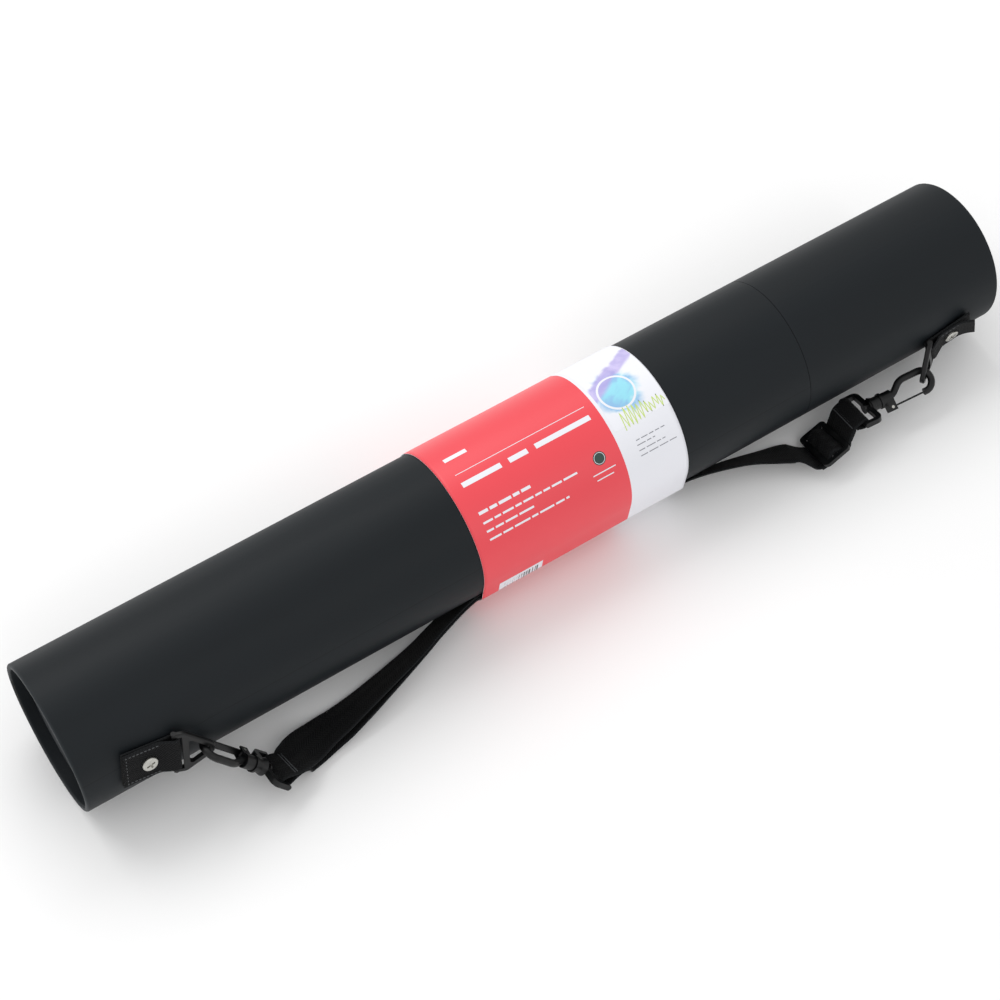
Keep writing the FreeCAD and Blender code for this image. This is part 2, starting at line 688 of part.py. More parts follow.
# ---------------------------------------------------------------- strap
def webbing(label, first, stations, last, plies):
    """Flat webbing from the frame first to the frame last, each with X along and Y across it. The
    stations between are centres (x, y, z) and a tilt: the width leans from level (0) to upright
    (90), outer edge up."""
    half_thickness = size("ply") * plies / 2
    centres = [first.Base] + [Vector(*station[:3]) for station in stations] + [last.Base]
    frames = [first]
    for i, station in enumerate(stations, start=1):
        ahead = centres[i + 1] - centres[i - 1]
        ahead.normalize()
        lean = radians(station[3])
        across = square_to(ahead, Vector(0, -cos(lean), sin(lean)))
        frames.append(axes_place(centres[i], ahead, ahead.cross(across)))
    frames.append(last)
    sections = []
    for frame in frames:
        corners = [frame.multVec(Vector(0, side_way * half_webbing, face_way * half_thickness))
                   for side_way, face_way in ((-1, -1), (1, -1), (1, 1), (-1, 1))]
        sections.append(Part.makePolygon(corners + corners[:1]))
    made = doc.addObject("Part::Feature", label)
    made.Shape = Part.makeLoft(sections, True, True)
    length = sum((b - a).Length for a, b in zip(centres, centres[1:]))
    print(f"{label}: {length:.1f} mm long, lowest {made.Shape.BoundBox.ZMin:.2f}")
    return node(made, label)


strap_angle = size("strap_angle")
band_start = size("band_start")
band_end = band_start + size("band_width")
band_middle = (band_start + band_end) / 2


def on_tube(x, plies):
    """Frame of the webbing where it lies against the tube at x."""
    radius = tube_radius + size("webbing_gap") + plies * size("ply") / 2
    return axes_place(outward(strap_angle) * radius + Vector(x, 0, 0), Vector(1, 0, 0),
                      Vector(1, 0, 0).cross(upward(strap_angle)))


strap_gap = size("strap_gap")


def bend_round(label, x_from, x_to, plies):
    """Webbing held between the tube and the band: an arc of a ring round the tube."""
    outer = cylinder(label + "_outer", f"tube_radius + webbing_gap + {plies} * ply", "1")
    inner = cylinder(label + "_inner", "tube_radius + webbing_gap", "1")
    ring = cut(label + "_ring", outer, inner)
    for piece in (outer, inner):
        piece.setExpression("Height", f"{x_to - x_from:.6f}")
    wedge = box(label + "_wedge", "2 * tube_radius", "webbing_width", "1", at(0, -half_webbing))
    wedge.setExpression("Height", f"{x_to - x_from:.6f}")
    arc = common(label, [ring, wedge])
    # the ring's own Z is the tube's axis, and its X points out to the middle of the webbing
    arc.Placement = Placement(Vector(x_from, 0, 0),
                              Rotation(outward(strap_angle), Vector(0, 0, 0), Vector(1, 0, 0), "ZXY"))
    return node(arc, label)


under_band_tail = 12.0                      # webbing that shows past each edge of the band
bend_round("strap_under_band", band_start - under_band_tail, band_middle - strap_gap, 2)
bend_round("strap_past_middle", band_middle + strap_gap, band_end + under_band_tail, 1)

loop_end = at(size("strap_tail") + strap_gap)
left = [
    (119, -66.0, -41.3, -5),
    (133, -62.8, -43.2, 7),
    (147, -61.3, -42.2, 18),
    (160, -59.3, -40.4, 27),
    (183.5, -54.3, -38.0, 38),
    (208, -48.3, -36.0, 46),
    (227, -42.6, -33.9, 50),
]
webbing("strap_left", body_loop_place * loop_end, left,
        on_tube(band_start - under_band_tail - strap_gap, 2), 2)

slider_centre = Vector(505, -61.2, -35.1)
slider_tilt = radians(23)
away = lid_loop_place.Rotation.multVec(Vector(-1, 0, 0))
slider_across = square_to(away, Vector(0, -cos(slider_tilt), sin(slider_tilt)))
slider_place = axes_place(slider_centre, away, away.cross(slider_across))
slider_end = size("slider_half_length") + strap_gap
right = [
    (437, -39.6, -34.6, 49),
    (454, -43.4, -36.2, 44),
    (470, -48.4, -38.0, 35),
    (484, -53.6, -38.7, 26),
]
webbing("strap_right", on_tube(band_end + under_band_tail + strap_gap, 1), right,
        slider_place * at(-slider_end), 1)
lid_end = axes_place(lid_loop_place.multVec(loop_end.Base), away,
                     lid_loop_place.Rotation.multVec(Vector(0, 0, -1)))
webbing("strap_lid_run", slider_place * at(slider_end), [], lid_end, 2)


def slider(label, place):
    half_x, half_y = size("slider_half_length"), size("slider_half_width")
    body, sketch = body_with_sketch(label + "_flat")
    polygon(sketch, [(-half_x, -half_y), (half_x, -half_y), (half_x, half_y), (-half_x, half_y)])
    pad(body, label + "_plate", sketch, "slider_thickness")
    inner, reach = size("slider_bar") / 2, half_y - size("ring_leg")
    end = half_x - size("slider_end_bar")
    for name, low, high in (("near", -end, -inner), ("far", inner, end)):
        slot = sketch_on(body, f"{label}_{name}_slot")
        polygon(slot, [(low, -reach), (high, -reach), (high, reach), (low, reach)])
        pocket(body, f"{label}_{name}_cut", slot)

    def corner(edge):
        upright = edge.BoundBox.ZLength > size("slider_thickness") * 0.9
        middle = edge.CenterOfMass
        return upright and abs(middle.y) > half_y - 0.1

    return node(rounded(label, body, 3.0, corner, place), label)


slider("slider", slider_place)


# ---------------------------------------------------------------- paper band
def band(label):
    """Paper sleeve: round the tube, with straight flanks where it passes over the strap."""
    clear = size("band_gap")
    tube = tube_radius + clear
    over_strap = tube_radius + size("webbing_gap") + 2 * size("ply") + clear
    half_angle = asin((half_webbing + clear) / over_strap)
    flank = acos(tube / over_strap)

    def outline(extra):
        inner, outer = tube + extra, over_strap + extra
        edge_turn = half_angle + acos(min(1.0, inner / outer))

        def point(radius, angle):
            return Vector(radius * cos(angle), radius * sin(angle), 0)

        back = Part.Arc(point(inner, edge_turn), point(inner, pi), point(inner, -edge_turn)).toShape()
        front = Part.Arc(point(outer, -half_angle), point(outer, 0), point(outer, half_angle)).toShape()
        low = Part.LineSegment(point(inner, -edge_turn), point(outer, -half_angle)).toShape()
        high = Part.LineSegment(point(outer, half_angle), point(inner, edge_turn)).toShape()
        return Part.Face(Part.Wire([back, low, front, high]))

    sheet_face = outline(size("paper")).cut(outline(0.0))
    made = doc.addObject("Part::Feature", label)
    made.Shape = sheet_face.extrude(Vector(0, 0, size("band_width")))
    made.Placement = Placement(Vector(band_start, 0, 0),
                               Rotation(outward(strap_angle), Vector(0, 0, 0), Vector(1, 0, 0), "ZXY"))
    print(f"{label}: flanks span {degrees(flank):.1f} degrees each side of the strap")
    return node(made, label)


band("paper_band")


# ---------------------------------------------------------------- joints, for the record
def report_axis(name, point, direction):
    print(f"axis {name}: ({point.x:.3f}, {point.y:.3f}, {point.z:.3f}) "
          f"({direction.x:.5f}, {direction.y:.5f}, {direction.z:.5f})")


for prefix, ring, place in (("body", body_ring_place, body_hook_place),
                            ("lid", lid_ring_place, lid_hook_place)):
    report_axis(prefix + "_ring", ring.Base, ring.Rotation.multVec(Vector(0, -1, 0)))
    report_axis(prefix + "_swivel", place.Base, place.Rotation.multVec(Vector(1, 0, 0)))
    report_axis(prefix + "_gate", place.multVec(Vector(gate_pin_x, -eye, 0)),
                place.Rotation.multVec(Vector(0, 0, -1)))
report_axis("slider", slider_centre, away)

# ---------------------------------------------------------------- check and write
doc.recompute()
for thing in doc.Objects:
    assert not {"Invalid", "Error"} & set(thing.State), f"{thing.Name}: {thing.State}"
for thing in NODES:
    shape = thing.Shape
    assert not shape.isNull() and shape.isValid(), f"{thing.Label} has no valid shape"
    shape.exportStep(f"parts/{thing.Label}.step")
    box_mm = shape.BoundBox
    print(f"{thing.Label}: {shape.Volume:.0f} mm3, {len(shape.Solids)} solid, "
          f"x {box_mm.XMin:.1f}..{box_mm.XMax:.1f} y {box_mm.YMin:.1f}..{box_mm.YMax:.1f} "
          f"z {box_mm.ZMin:.1f}..{box_mm.ZMax:.1f}")
print(f"{len(NODES)} nodes")
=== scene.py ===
# %% [markdown]
# # A carrying tube for drawings
# A card tube with a pull-off lid, covered in black leatherette. A webbing tab is screwed on near
# each end and holds a D-ring, a snap hook hangs on each ring, and a shoulder strap runs between the
# hooks under a paper band. The hard parts come ready from the CAD frame; this script gives them
# their finishes, and makes the webbing, the stitching and the printed paper band.

# %% Load the frame
import json
import random
from math import acos, asin, cos, degrees, pi, radians, sin

import bpy
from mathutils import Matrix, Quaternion, Vector


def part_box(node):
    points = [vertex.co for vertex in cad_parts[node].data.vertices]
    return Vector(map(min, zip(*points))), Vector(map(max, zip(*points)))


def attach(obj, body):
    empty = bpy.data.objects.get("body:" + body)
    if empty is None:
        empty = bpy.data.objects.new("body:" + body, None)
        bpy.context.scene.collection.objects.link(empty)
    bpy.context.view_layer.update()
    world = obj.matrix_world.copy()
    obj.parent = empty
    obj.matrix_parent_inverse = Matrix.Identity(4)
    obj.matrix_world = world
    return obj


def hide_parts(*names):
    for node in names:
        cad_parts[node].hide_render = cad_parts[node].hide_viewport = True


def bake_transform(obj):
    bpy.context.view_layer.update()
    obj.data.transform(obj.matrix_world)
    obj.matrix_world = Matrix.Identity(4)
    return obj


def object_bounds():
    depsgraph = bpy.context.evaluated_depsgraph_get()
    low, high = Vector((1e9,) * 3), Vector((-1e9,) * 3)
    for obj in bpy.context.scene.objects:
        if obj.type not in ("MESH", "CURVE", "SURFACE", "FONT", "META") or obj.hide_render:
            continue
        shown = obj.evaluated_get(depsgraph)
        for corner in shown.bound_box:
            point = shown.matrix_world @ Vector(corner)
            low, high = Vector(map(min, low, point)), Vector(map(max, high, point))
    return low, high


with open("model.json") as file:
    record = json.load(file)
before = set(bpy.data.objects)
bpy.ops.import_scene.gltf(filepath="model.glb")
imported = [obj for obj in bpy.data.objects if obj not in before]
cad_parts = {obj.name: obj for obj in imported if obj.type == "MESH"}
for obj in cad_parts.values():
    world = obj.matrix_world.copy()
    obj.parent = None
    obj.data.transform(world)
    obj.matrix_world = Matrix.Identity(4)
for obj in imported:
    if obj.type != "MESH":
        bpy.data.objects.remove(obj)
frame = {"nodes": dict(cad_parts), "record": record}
cad_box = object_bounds()
nodes = frame["nodes"]
joints = {joint["name"]: joint for joint in frame["record"]["behaviour"]["joints"]}

# %% [markdown]
# ## Camera
# The tube lies on a table and is seen from the closed end, from well above. The camera is set by
# its place and by the point that it looks at, which reads more easily than turn angles.

# %% Camera
MM = 0.001
CAMERA_PLACE = Vector((-0.1517, -0.6331, 1.2311))
CAMERA_AIM = Vector((0.3080, 0.4329, -0.8472))
CAMERA_ROLL = radians(2.6)
CAMERA_LENS = 86.7

camera_data = bpy.data.cameras.new("camera")
camera_data.lens = CAMERA_LENS
camera = bpy.data.objects.new("camera", camera_data)
camera.location = CAMERA_PLACE
camera.rotation_mode = "QUATERNION"
camera.rotation_quaternion = CAMERA_AIM.to_track_quat("-Z", "Y") @ Quaternion((0, 0, 1), CAMERA_ROLL)
bpy.context.scene.collection.objects.link(camera)
bpy.context.scene.camera = camera
print("camera looks down by", round(degrees(asin(-CAMERA_AIM.z))), "degrees")

# %% [markdown]
# ## Measures from the frame
# Everything hangs on the CAD parts, so the places are read from their boxes and joints. The tube's
# axis is the X axis. Angles round it are counted from the near side, -Y, upwards.

# %% Measures
TUBE_RADIUS = 47.5 * MM
PLY = 1.5 * MM                    # one layer of webbing
WEBBING_WIDTH = 25.4 * MM
HALF_WEBBING = WEBBING_WIDTH / 2
WEBBING_GAP = 0.05 * MM
LOOP_GAP = 0.3 * MM               # webbing to the bar inside it
STRAP_ANGLE = -40.0               # where the strap lies against the tube
BAND_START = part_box("paper_band")[0].x
BAND_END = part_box("paper_band")[1].x
BAND_MIDDLE = (BAND_START + BAND_END) / 2
PAPER = 0.3 * MM
FLOOR = cad_box[0].z


def outward(angle):
    """Unit vector from the tube's axis, at an angle counted upwards from the near side."""
    return Vector((0, -cos(radians(angle)), sin(radians(angle))))


def square_to(along, direction):
    across = direction - along * direction.dot(along)
    return across.normalized()


print("band from", round(BAND_START / MM), "to", round(BAND_END / MM), "mm")

# %% [markdown]
# ## Finishes
# Each finish is a small node tree on the Principled shader. Colours are written as sRGB hex, as a
# paint program shows them, and turned to linear here. One function adds any node, with its settings
# and inputs: an input that is a socket becomes a link. Another leads sockets into the shader.

# %% Material helpers
MATH, MIX, RANGE, BUMP = ("ShaderNode" + kind for kind in ("Math", "Mix", "MapRange", "Bump"))
NOISE, COORDS, SPLIT = ("ShaderNode" + kind for kind in ("TexNoise", "TexCoord", "SeparateXYZ"))
RGBA = {"data_type": "RGBA"}      # a Mix node for colours: inputs 0, 6 and 7, output 2
SMOOTH = {"interpolation_type": "SMOOTHSTEP"}


def linear(hex_colour):
    """Linear RGBA of an sRGB hex colour."""
    parts = [int(hex_colour[i:i + 2], 16) / 255 for i in (1, 3, 5)]
    return tuple(c / 12.92 if c <= 0.04045 else ((c + 0.055) / 1.055) ** 2.4 for c in parts) + (1.0,)


def add(tree, kind, *inputs, **settings):
    """Adds a node and returns its outputs. An input is a value, a hex colour or a socket to link
    from, in the node's own order; a dict gives inputs by name or number."""
    made = tree.nodes.new(kind)
    for name, value in settings.items():
        setattr(made, name, value)
    given = {}
    for number, value in enumerate(inputs):
        given.update(value if isinstance(value, dict) else {number: value})
    for key, value in given.items():
        if isinstance(value, bpy.types.NodeSocket):
            tree.links.new(value, made.inputs[key])
        else:
            made.inputs[key].default_value = linear(value) if isinstance(value, str) else value
    return made.outputs


def new_finish(name, **constants):
    """An empty finish: the material, its tree and its shader, with the constants set."""
    material = bpy.data.materials.new(name)
    material.use_nodes = True
    tree = material.node_tree
    shader = next(node for node in tree.nodes if node.type == "BSDF_PRINCIPLED")
    for key, value in constants.items():
        shader.inputs[key.replace("_", " ")].default_value = value
    return material, tree, shader


def feed(shader, **sockets):
    """Links sockets to the shader's inputs of these names."""
    for key, socket in sockets.items():
        shader.id_data.links.new(socket, shader.inputs[key.replace("_", " ")])


print("red of #FF0000 is", linear("#FF0000")[0])

# %% [markdown]
# ### Leatherette
# The covering is a thin coated paper or cloth, glued on and rolled in over the rims. Its grain is
# finer than a millimetre, so from a step away it only spreads the highlight. Long soft streaks
# along the tube come from winding, the rims are painted a little paler, partly for wear and partly
# as a painted highlight where their rounded edge catches the light, and one faint line shows where
# the covering's two edges meet.

# %% Leatherette
def leatherette(name, join_angle, rim):
    material, tree, shader = new_finish(name, IOR=1.5, Roughness=0.55, Specular_IOR_Level=0.2)
    place = add(tree, COORDS)["Object"]
    x, y, z = add(tree, SPLIT, place)
    stretched = add(tree, "ShaderNodeMapping", {0: place, "Scale": (4, 40, 40)})[0]
    streaks = add(tree, NOISE, {"Vector": stretched, "Scale": 1.0, "Detail": 3.0})[0]
    grain_size = 0.9 * MM         # drawn a little coarser than the real grain, so that it shows
    grain = add(tree, "ShaderNodeTexVoronoi", {"Vector": place, "Scale": 1 / grain_size})[0]
    pores = add(tree, NOISE, {"Vector": place, "Scale": 1 / (0.35 * MM), "Detail": 2.0})[0]
    # the join: a shallow line at one angle round the tube
    minus_y = add(tree, MATH, y, -1.0, operation="MULTIPLY")[0]
    angle = add(tree, MATH, z, minus_y, operation="ARCTAN2")[0]
    turned = add(tree, MATH, angle, radians(join_angle), operation="SUBTRACT")[0]
    off_join = add(tree, MATH, turned, operation="ABSOLUTE")[0]
    join = add(tree, RANGE, off_join, 0.0, 0.6 * MM / TUBE_RADIUS, 1.0, 0.0, **SMOOTH)[0]
    # the pale rim, by the distance from it: partly wear, partly a painted highlight on the rounded rim
    past_rim = add(tree, MATH, x, rim, operation="SUBTRACT")[0]
    rim_gap = add(tree, MATH, past_rim, operation="ABSOLUTE")[0]
    edge = add(tree, RANGE, rim_gap, 0.2 * MM, 1.6 * MM, 0.5, 0.0, **SMOOTH)[0]
    base = add(tree, MIX, {0: streaks, 6: "#101417", 7: "#181D21"}, **RGBA)[2]
    # the rims painted paler: partly wear, partly a painted highlight where the rounded rim catches light
    worn = add(tree, MIX, {0: edge, 6: base, 7: "#33383B"}, **RGBA)[2]
    half_join = add(tree, MATH, join, 0.5, operation="MULTIPLY")[0]
    colour = add(tree, MIX, {0: half_join, 6: worn, 7: "#060708"}, **RGBA)[2]
    rough = add(tree, RANGE, streaks, 0.3, 0.7, 0.5, 0.6, **SMOOTH)[0]
    fine = add(tree, MATH, pores, 0.4, operation="MULTIPLY")[0]
    relief = add(tree, MATH, grain, 0.6, fine, operation="MULTIPLY_ADD")[0]
    height = add(tree, MATH, relief, join, operation="SUBTRACT")[0]
    normal = add(tree, BUMP, {"Strength": 0.7, "Distance": 0.05 * MM, "Height": height})[0]
    feed(shader, Base_Color=colour, Roughness=rough, Normal=normal)
    return material


body_leatherette = leatherette("leatherette_body", 18.3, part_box("body_cover")[0].x)
lid_leatherette = leatherette("leatherette_lid", -9.0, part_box("lid_cover")[1].x)

# %% [markdown]
# ### Board, card and metal
# The end discs are black board, quite matt. The tube's own card is wound in a spiral, which shows
# as slanting bands on the neck when the lid is off. Screws, posts and washers are nickel-plated
# steel, so they are full metal with a fine turned grain.

# %% Board, card and steel
def end_board():
    material, tree, shader = new_finish("black_board", IOR=1.5, Roughness=0.7)
    place = add(tree, COORDS)["Object"]
    fibres = add(tree, NOISE, {"Vector": place, "Scale": 1 / (2 * MM), "Detail": 5.0})[0]
    colour = add(tree, MIX, {0: fibres, 6: "#292C2F", 7: "#3A3D41"}, **RGBA)[2]
    normal = add(tree, BUMP, {"Strength": 0.6, "Distance": 0.08 * MM, "Height": fibres})[0]
    feed(shader, Base_Color=colour, Normal=normal)
    return material


def wound_card():
    material, tree, shader = new_finish("spiral_wound_card", IOR=1.5, Roughness=0.85)
    place = add(tree, COORDS)["Object"]
    x, y, z = add(tree, SPLIT, place)
    turn_pitch = 70 * MM          # how far one turn of the card strip climbs along the tube
    angle = add(tree, MATH, z, y, operation="ARCTAN2")[0]
    run = add(tree, MATH, x, turn_pitch, operation="DIVIDE")[0]
    climb = add(tree, MATH, angle, 1 / (2 * pi), run, operation="MULTIPLY_ADD")[0]
    off_joint = add(tree, MATH, climb, 0.5, operation="PINGPONG")[0]
    line = add(tree, RANGE, off_joint, 0.0, 0.012, 0.6, 0.0, **SMOOTH)[0]
    fibres = add(tree, NOISE, {"Vector": place, "Scale": 1 / (1.2 * MM), "Detail": 6.0})[0]
    plain = add(tree, MIX, {0: fibres, 6: "#7D6548", 7: "#A08662"}, **RGBA)[2]
    colour = add(tree, MIX, {0: line, 6: plain, 7: "#4A3A28"}, **RGBA)[2]
    normal = add(tree, BUMP, {"Strength": 0.5, "Distance": 0.1 * MM, "Height": fibres})[0]
    feed(shader, Base_Color=colour, Normal=normal)
    return material


def nickel_steel():
    material, tree, shader = new_finish("nickel_plated_steel", Metallic=1.0, Roughness=0.3)
    place = add(tree, COORDS)["Object"]
    grain = add(tree, NOISE, {"Vector": place, "Scale": 1 / (0.3 * MM), "Detail": 3.0})[0]
    colour = add(tree, MIX, {0: grain, 6: "#A9A8A2", 7: "#CDCCC6"}, **RGBA)[2]
    rough = add(tree, RANGE, grain, 0.3, 0.7, 0.24, 0.4, **SMOOTH)[0]
    normal = add(tree, BUMP, {"Strength": 0.5, "Distance": 0.02 * MM, "Height": grain})[0]
    feed(shader, Base_Color=colour, Roughness=rough, Normal=normal)
    return material


board = end_board()
card = wound_card()
steel = nickel_steel()

# %% [markdown]
# ### Moulded black plastic
# Rings, hooks, bases and slider are injection-moulded nylon: near black, with a satin skin that is
# slightly uneven, and paler where edges rub. The wear mask comes from a slow noise, because the
# pieces are small and all of them are handled.

# %% Moulded plastic
def moulded_nylon():
    material, tree, shader = new_finish("moulded_nylon", IOR=1.53, Roughness=0.36, Specular_IOR_Level=0.3)
    place = add(tree, COORDS)["Object"]
    skin = add(tree, NOISE, {"Vector": place, "Scale": 1 / (0.5 * MM), "Detail": 3.0})[0]
    handled = add(tree, NOISE, {"Vector": place, "Scale": 1 / (9 * MM), "Detail": 2.0})[0]
    worn = add(tree, RANGE, handled, 0.45, 0.75, **SMOOTH)[0]
    colour = add(tree, MIX, {0: worn, 6: "#08090A", 7: "#131415"}, **RGBA)[2]
    rough = add(tree, RANGE, handled, 0.3, 0.7, 0.3, 0.46, **SMOOTH)[0]
    normal = add(tree, BUMP, {"Strength": 0.6, "Distance": 0.03 * MM, "Height": skin})[0]
    feed(shader, Base_Color=colour, Roughness=rough, Normal=normal)
    return material


nylon = moulded_nylon()

# %% [markdown]
# ### Woven webbing
# Polypropylene webbing is a dense twill: thick yarns slant one way, then the other, in narrow
# stripes along the strap, and a firm selvedge runs down each edge, painted paler as a painted
# highlight where its rounded edge catches the light. The pattern follows the strap's own UV map,
# which holds real metres along and across it, so it never stretches or slides.

# %% Webbing
def woven(name, dark, light):
    material, tree, shader = new_finish(name, IOR=1.49, Roughness=0.85, Specular_IOR_Level=0.16,
                                        Sheen_Weight=0.04, Sheen_Roughness=0.4)
    place = add(tree, COORDS)["UV"]
    along, across, _ = add(tree, SPLIT, place)
    stripe, yarn, warp_pitch = 4.2 * MM, 1.9 * MM, 1.05 * MM
    slant = add(tree, MATH, across, stripe, operation="PINGPONG")[0]
    slanted = add(tree, MATH, along, slant, operation="ADD")[0]
    twill_turn = add(tree, MATH, slanted, 2 * pi / yarn, operation="MULTIPLY")[0]
    twill = add(tree, MATH, twill_turn, operation="SINE")[0]
    warp_turn = add(tree, MATH, across, 2 * pi / warp_pitch, operation="MULTIPLY")[0]
    warp = add(tree, MATH, warp_turn, operation="SINE")[0]
    weave = add(tree, MATH, warp, 0.35, twill, operation="MULTIPLY_ADD")[0]
    fuzz = add(tree, NOISE, {"Vector": place, "Scale": 1 / (0.6 * MM), "Detail": 4.0})[0]
    lit = add(tree, MATH, weave, 0.22, fuzz, operation="MULTIPLY_ADD")[0]
    lit_part = add(tree, RANGE, lit, 0.2, 0.85, **SMOOTH)[0]
    body = add(tree, MIX, {0: lit_part, 6: dark, 7: light}, **RGBA)[2]
    # the selvedges painted paler: a painted highlight on the webbing's rounded edges
    off_middle = add(tree, MATH, across, operation="ABSOLUTE")[0]
    selvedge = HALF_WEBBING - 1.6 * MM
    edge = add(tree, RANGE, off_middle, selvedge, selvedge + 0.6 * MM, 0.0, 0.5, **SMOOTH)[0]
    colour = add(tree, MIX, {0: edge, 6: body, 7: "#1D1F21"}, **RGBA)[2]
    height = add(tree, MATH, fuzz, 0.8, weave, operation="MULTIPLY_ADD")[0]
    normal = add(tree, BUMP, {"Strength": 0.8, "Distance": 0.16 * MM, "Height": height})[0]
    feed(shader, Base_Color=colour, Normal=normal)
    return material


webbing_finish = woven("polypropylene_webbing", "#050506", "#151617")

# %% [markdown]
# ### Printed paper
# The band is coated paper, so its ink has a faint gloss. The coral ground and the plain white end
# are one sheet: the colour changes at one place along the tube.

# %% Paper
def coated_paper(name, ink):
    """Ink of one colour on coated paper."""
    material, tree, shader = new_finish(name, IOR=1.5, Roughness=0.42)
    place = add(tree, COORDS)["Object"]
    fibres = add(tree, NOISE, {"Vector": place, "Scale": 1 / (0.8 * MM), "Detail": 4.0})[0]
    shade = add(tree, NOISE, {"Vector": place, "Scale": 1 / (60 * MM)})[0]
    darker = add(tree, "ShaderNodeHueSaturation", {"Value": 0.94, "Color": ink})[0]
    colour = add(tree, MIX, {0: shade, 6: darker, 7: ink}, **RGBA)[2]
    normal = add(tree, BUMP, {"Strength": 0.5, "Distance": 0.02 * MM, "Height": fibres})[0]
    feed(shader, Base_Color=colour, Normal=normal)
    return material


CORAL_END = 363.4 * MM            # where the coral ends and the white begins
coral = coated_paper("paper_coral", "#E94650")
white = coated_paper("paper_white", "#E9EAF0")
print(len(bpy.data.materials), "finishes so far")

# %% [markdown]
# ## Finishes on the CAD parts
# The hard parts keep their CAD shape. Only their material slots change.

# %% Dress the CAD parts
def dress(node_name, material):
    data = nodes[node_name].data
    data.materials.clear()
    data.materials.append(material)


for name in ("body_tube", "lid_tube", "neck_sleeve"):
    dress(name, card)
dress("body_cover", body_leatherette)
dress("lid_cover", lid_leatherette)
for side in ("body", "lid"):
    dress(side + "_end_disc", board)
    for name in ("_tab_washer", "_tab_post", "_tab_screw", "_hook_pin"):
        dress(side + name, steel)
    for name in ("_ring", "_hook", "_hook_gate", "_swivel"):
        dress(side + name, nylon)
dress("slider", nylon)
print("dressed", sum(1 for node in nodes.values() if node.active_material), "nodes")

# %% [markdown]
# ## Webbing
# A strap is a long ribbon, so it is made as one: a list of stations gives the middle of the ribbon
# and the direction across it, a smooth curve goes through them, and a rounded section follows the
# curve. A curve object with a bevel would twist at the turns, so the mesh is built directly.

# %% Ribbon helpers
def hermite(values, knots, t):
    """Smooth curve through values at knots that may be unevenly spaced."""
    last = len(values) - 1
    i = max(k for k in range(last) if knots[k] <= t or k == 0)

    def slope(k):
        if k == 0:
            return (values[1] - values[0]) * (1 / (knots[1] - knots[0]))
        if k == last:
            return (values[last] - values[last - 1]) * (1 / (knots[last] - knots[last - 1]))
        before, after = knots[k] - knots[k - 1], knots[k + 1] - knots[k]
        rise_before = (values[k] - values[k - 1]) * (1 / before)
        rise_after = (values[k + 1] - values[k]) * (1 / after)
        return (rise_before * after + rise_after * before) * (1 / (before + after))

    span = knots[i + 1] - knots[i]
    f = min(1.0, max(0.0, (t - knots[i]) / span))
    start, end = values[i], values[i + 1]
    return (start * (2 * f ** 3 - 3 * f ** 2 + 1) + end * (3 * f ** 2 - 2 * f ** 3)
            + slope(i) * (span * (f ** 3 - 2 * f ** 2 + f)) + slope(i + 1) * (span * (f ** 3 - f ** 2)))


def ribbon_frames(stations, spacing):
    """Evenly spaced (distance, centre, along, across, cup), from stations of (centre, across, cup)."""
    knots = [0.0]
    for a, b in zip(stations, stations[1:]):
        knots.append(knots[-1] + (b[0] - a[0]).length)
    centres, acrosses, cups = ([station[k] for station in stations] for k in range(3))
    count = max(2, round(knots[-1] / spacing))
    small = 0.02 * MM
    frames = []
    for k in range(count + 1):
        t = knots[-1] * k / count
        before, after = max(0.0, t - small), min(knots[-1], t + small)
        along = (hermite(centres, knots, after) - hermite(centres, knots, before)).normalized()
        across = square_to(along, hermite(acrosses, knots, t))
        frames.append((t, hermite(centres, knots, t), along, across, hermite(cups, knots, t)))
    return frames


SECTION_COLUMNS = 10              # faces across each flat side


def ribbon_section(half, thickness):
    """Closed outline of the webbing, (across, up): flat faces and round selvedges."""
    r = thickness / 2
    flat = half - r
    columns = [flat * (2 * k / SECTION_COLUMNS - 1) for k in range(SECTION_COLUMNS + 1)]
    turns = [radians(a) for a in (60, 30, 0, -30, -60)]
    outline = [(v, r) for v in columns]
    outline += [(flat + r * cos(a), r * sin(a)) for a in turns]
    outline += [(v, -r) for v in reversed(columns)]
    outline += [(-flat - r * cos(a), -r * sin(a)) for a in turns]
    return outline


def make_mesh(name, points, faces, material, uvs=None):
    mesh = bpy.data.meshes.new(name)
    mesh.from_pydata([tuple(p) for p in points], [], faces)
    mesh.materials.append(material)
    if uvs:
        layer = mesh.uv_layers.new(name="UVMap")
        flat = [uv for face in uvs for uv in face]
        for loop, uv in zip(layer.data, flat):
            loop.uv = uv
    for polygon in mesh.polygons:
        polygon.use_smooth = True
    mesh.validate()
    made = bpy.data.objects.new(name, mesh)
    bpy.context.scene.collection.objects.link(made)
    return made


RIBBON_THICKNESS = PLY - 0.1 * MM
RIBBON_STEP = 0.47 * MM           # a quarter of a rib
RIB_PITCH = 1.9 * MM
RIB_DEPTH = 0.05 * MM


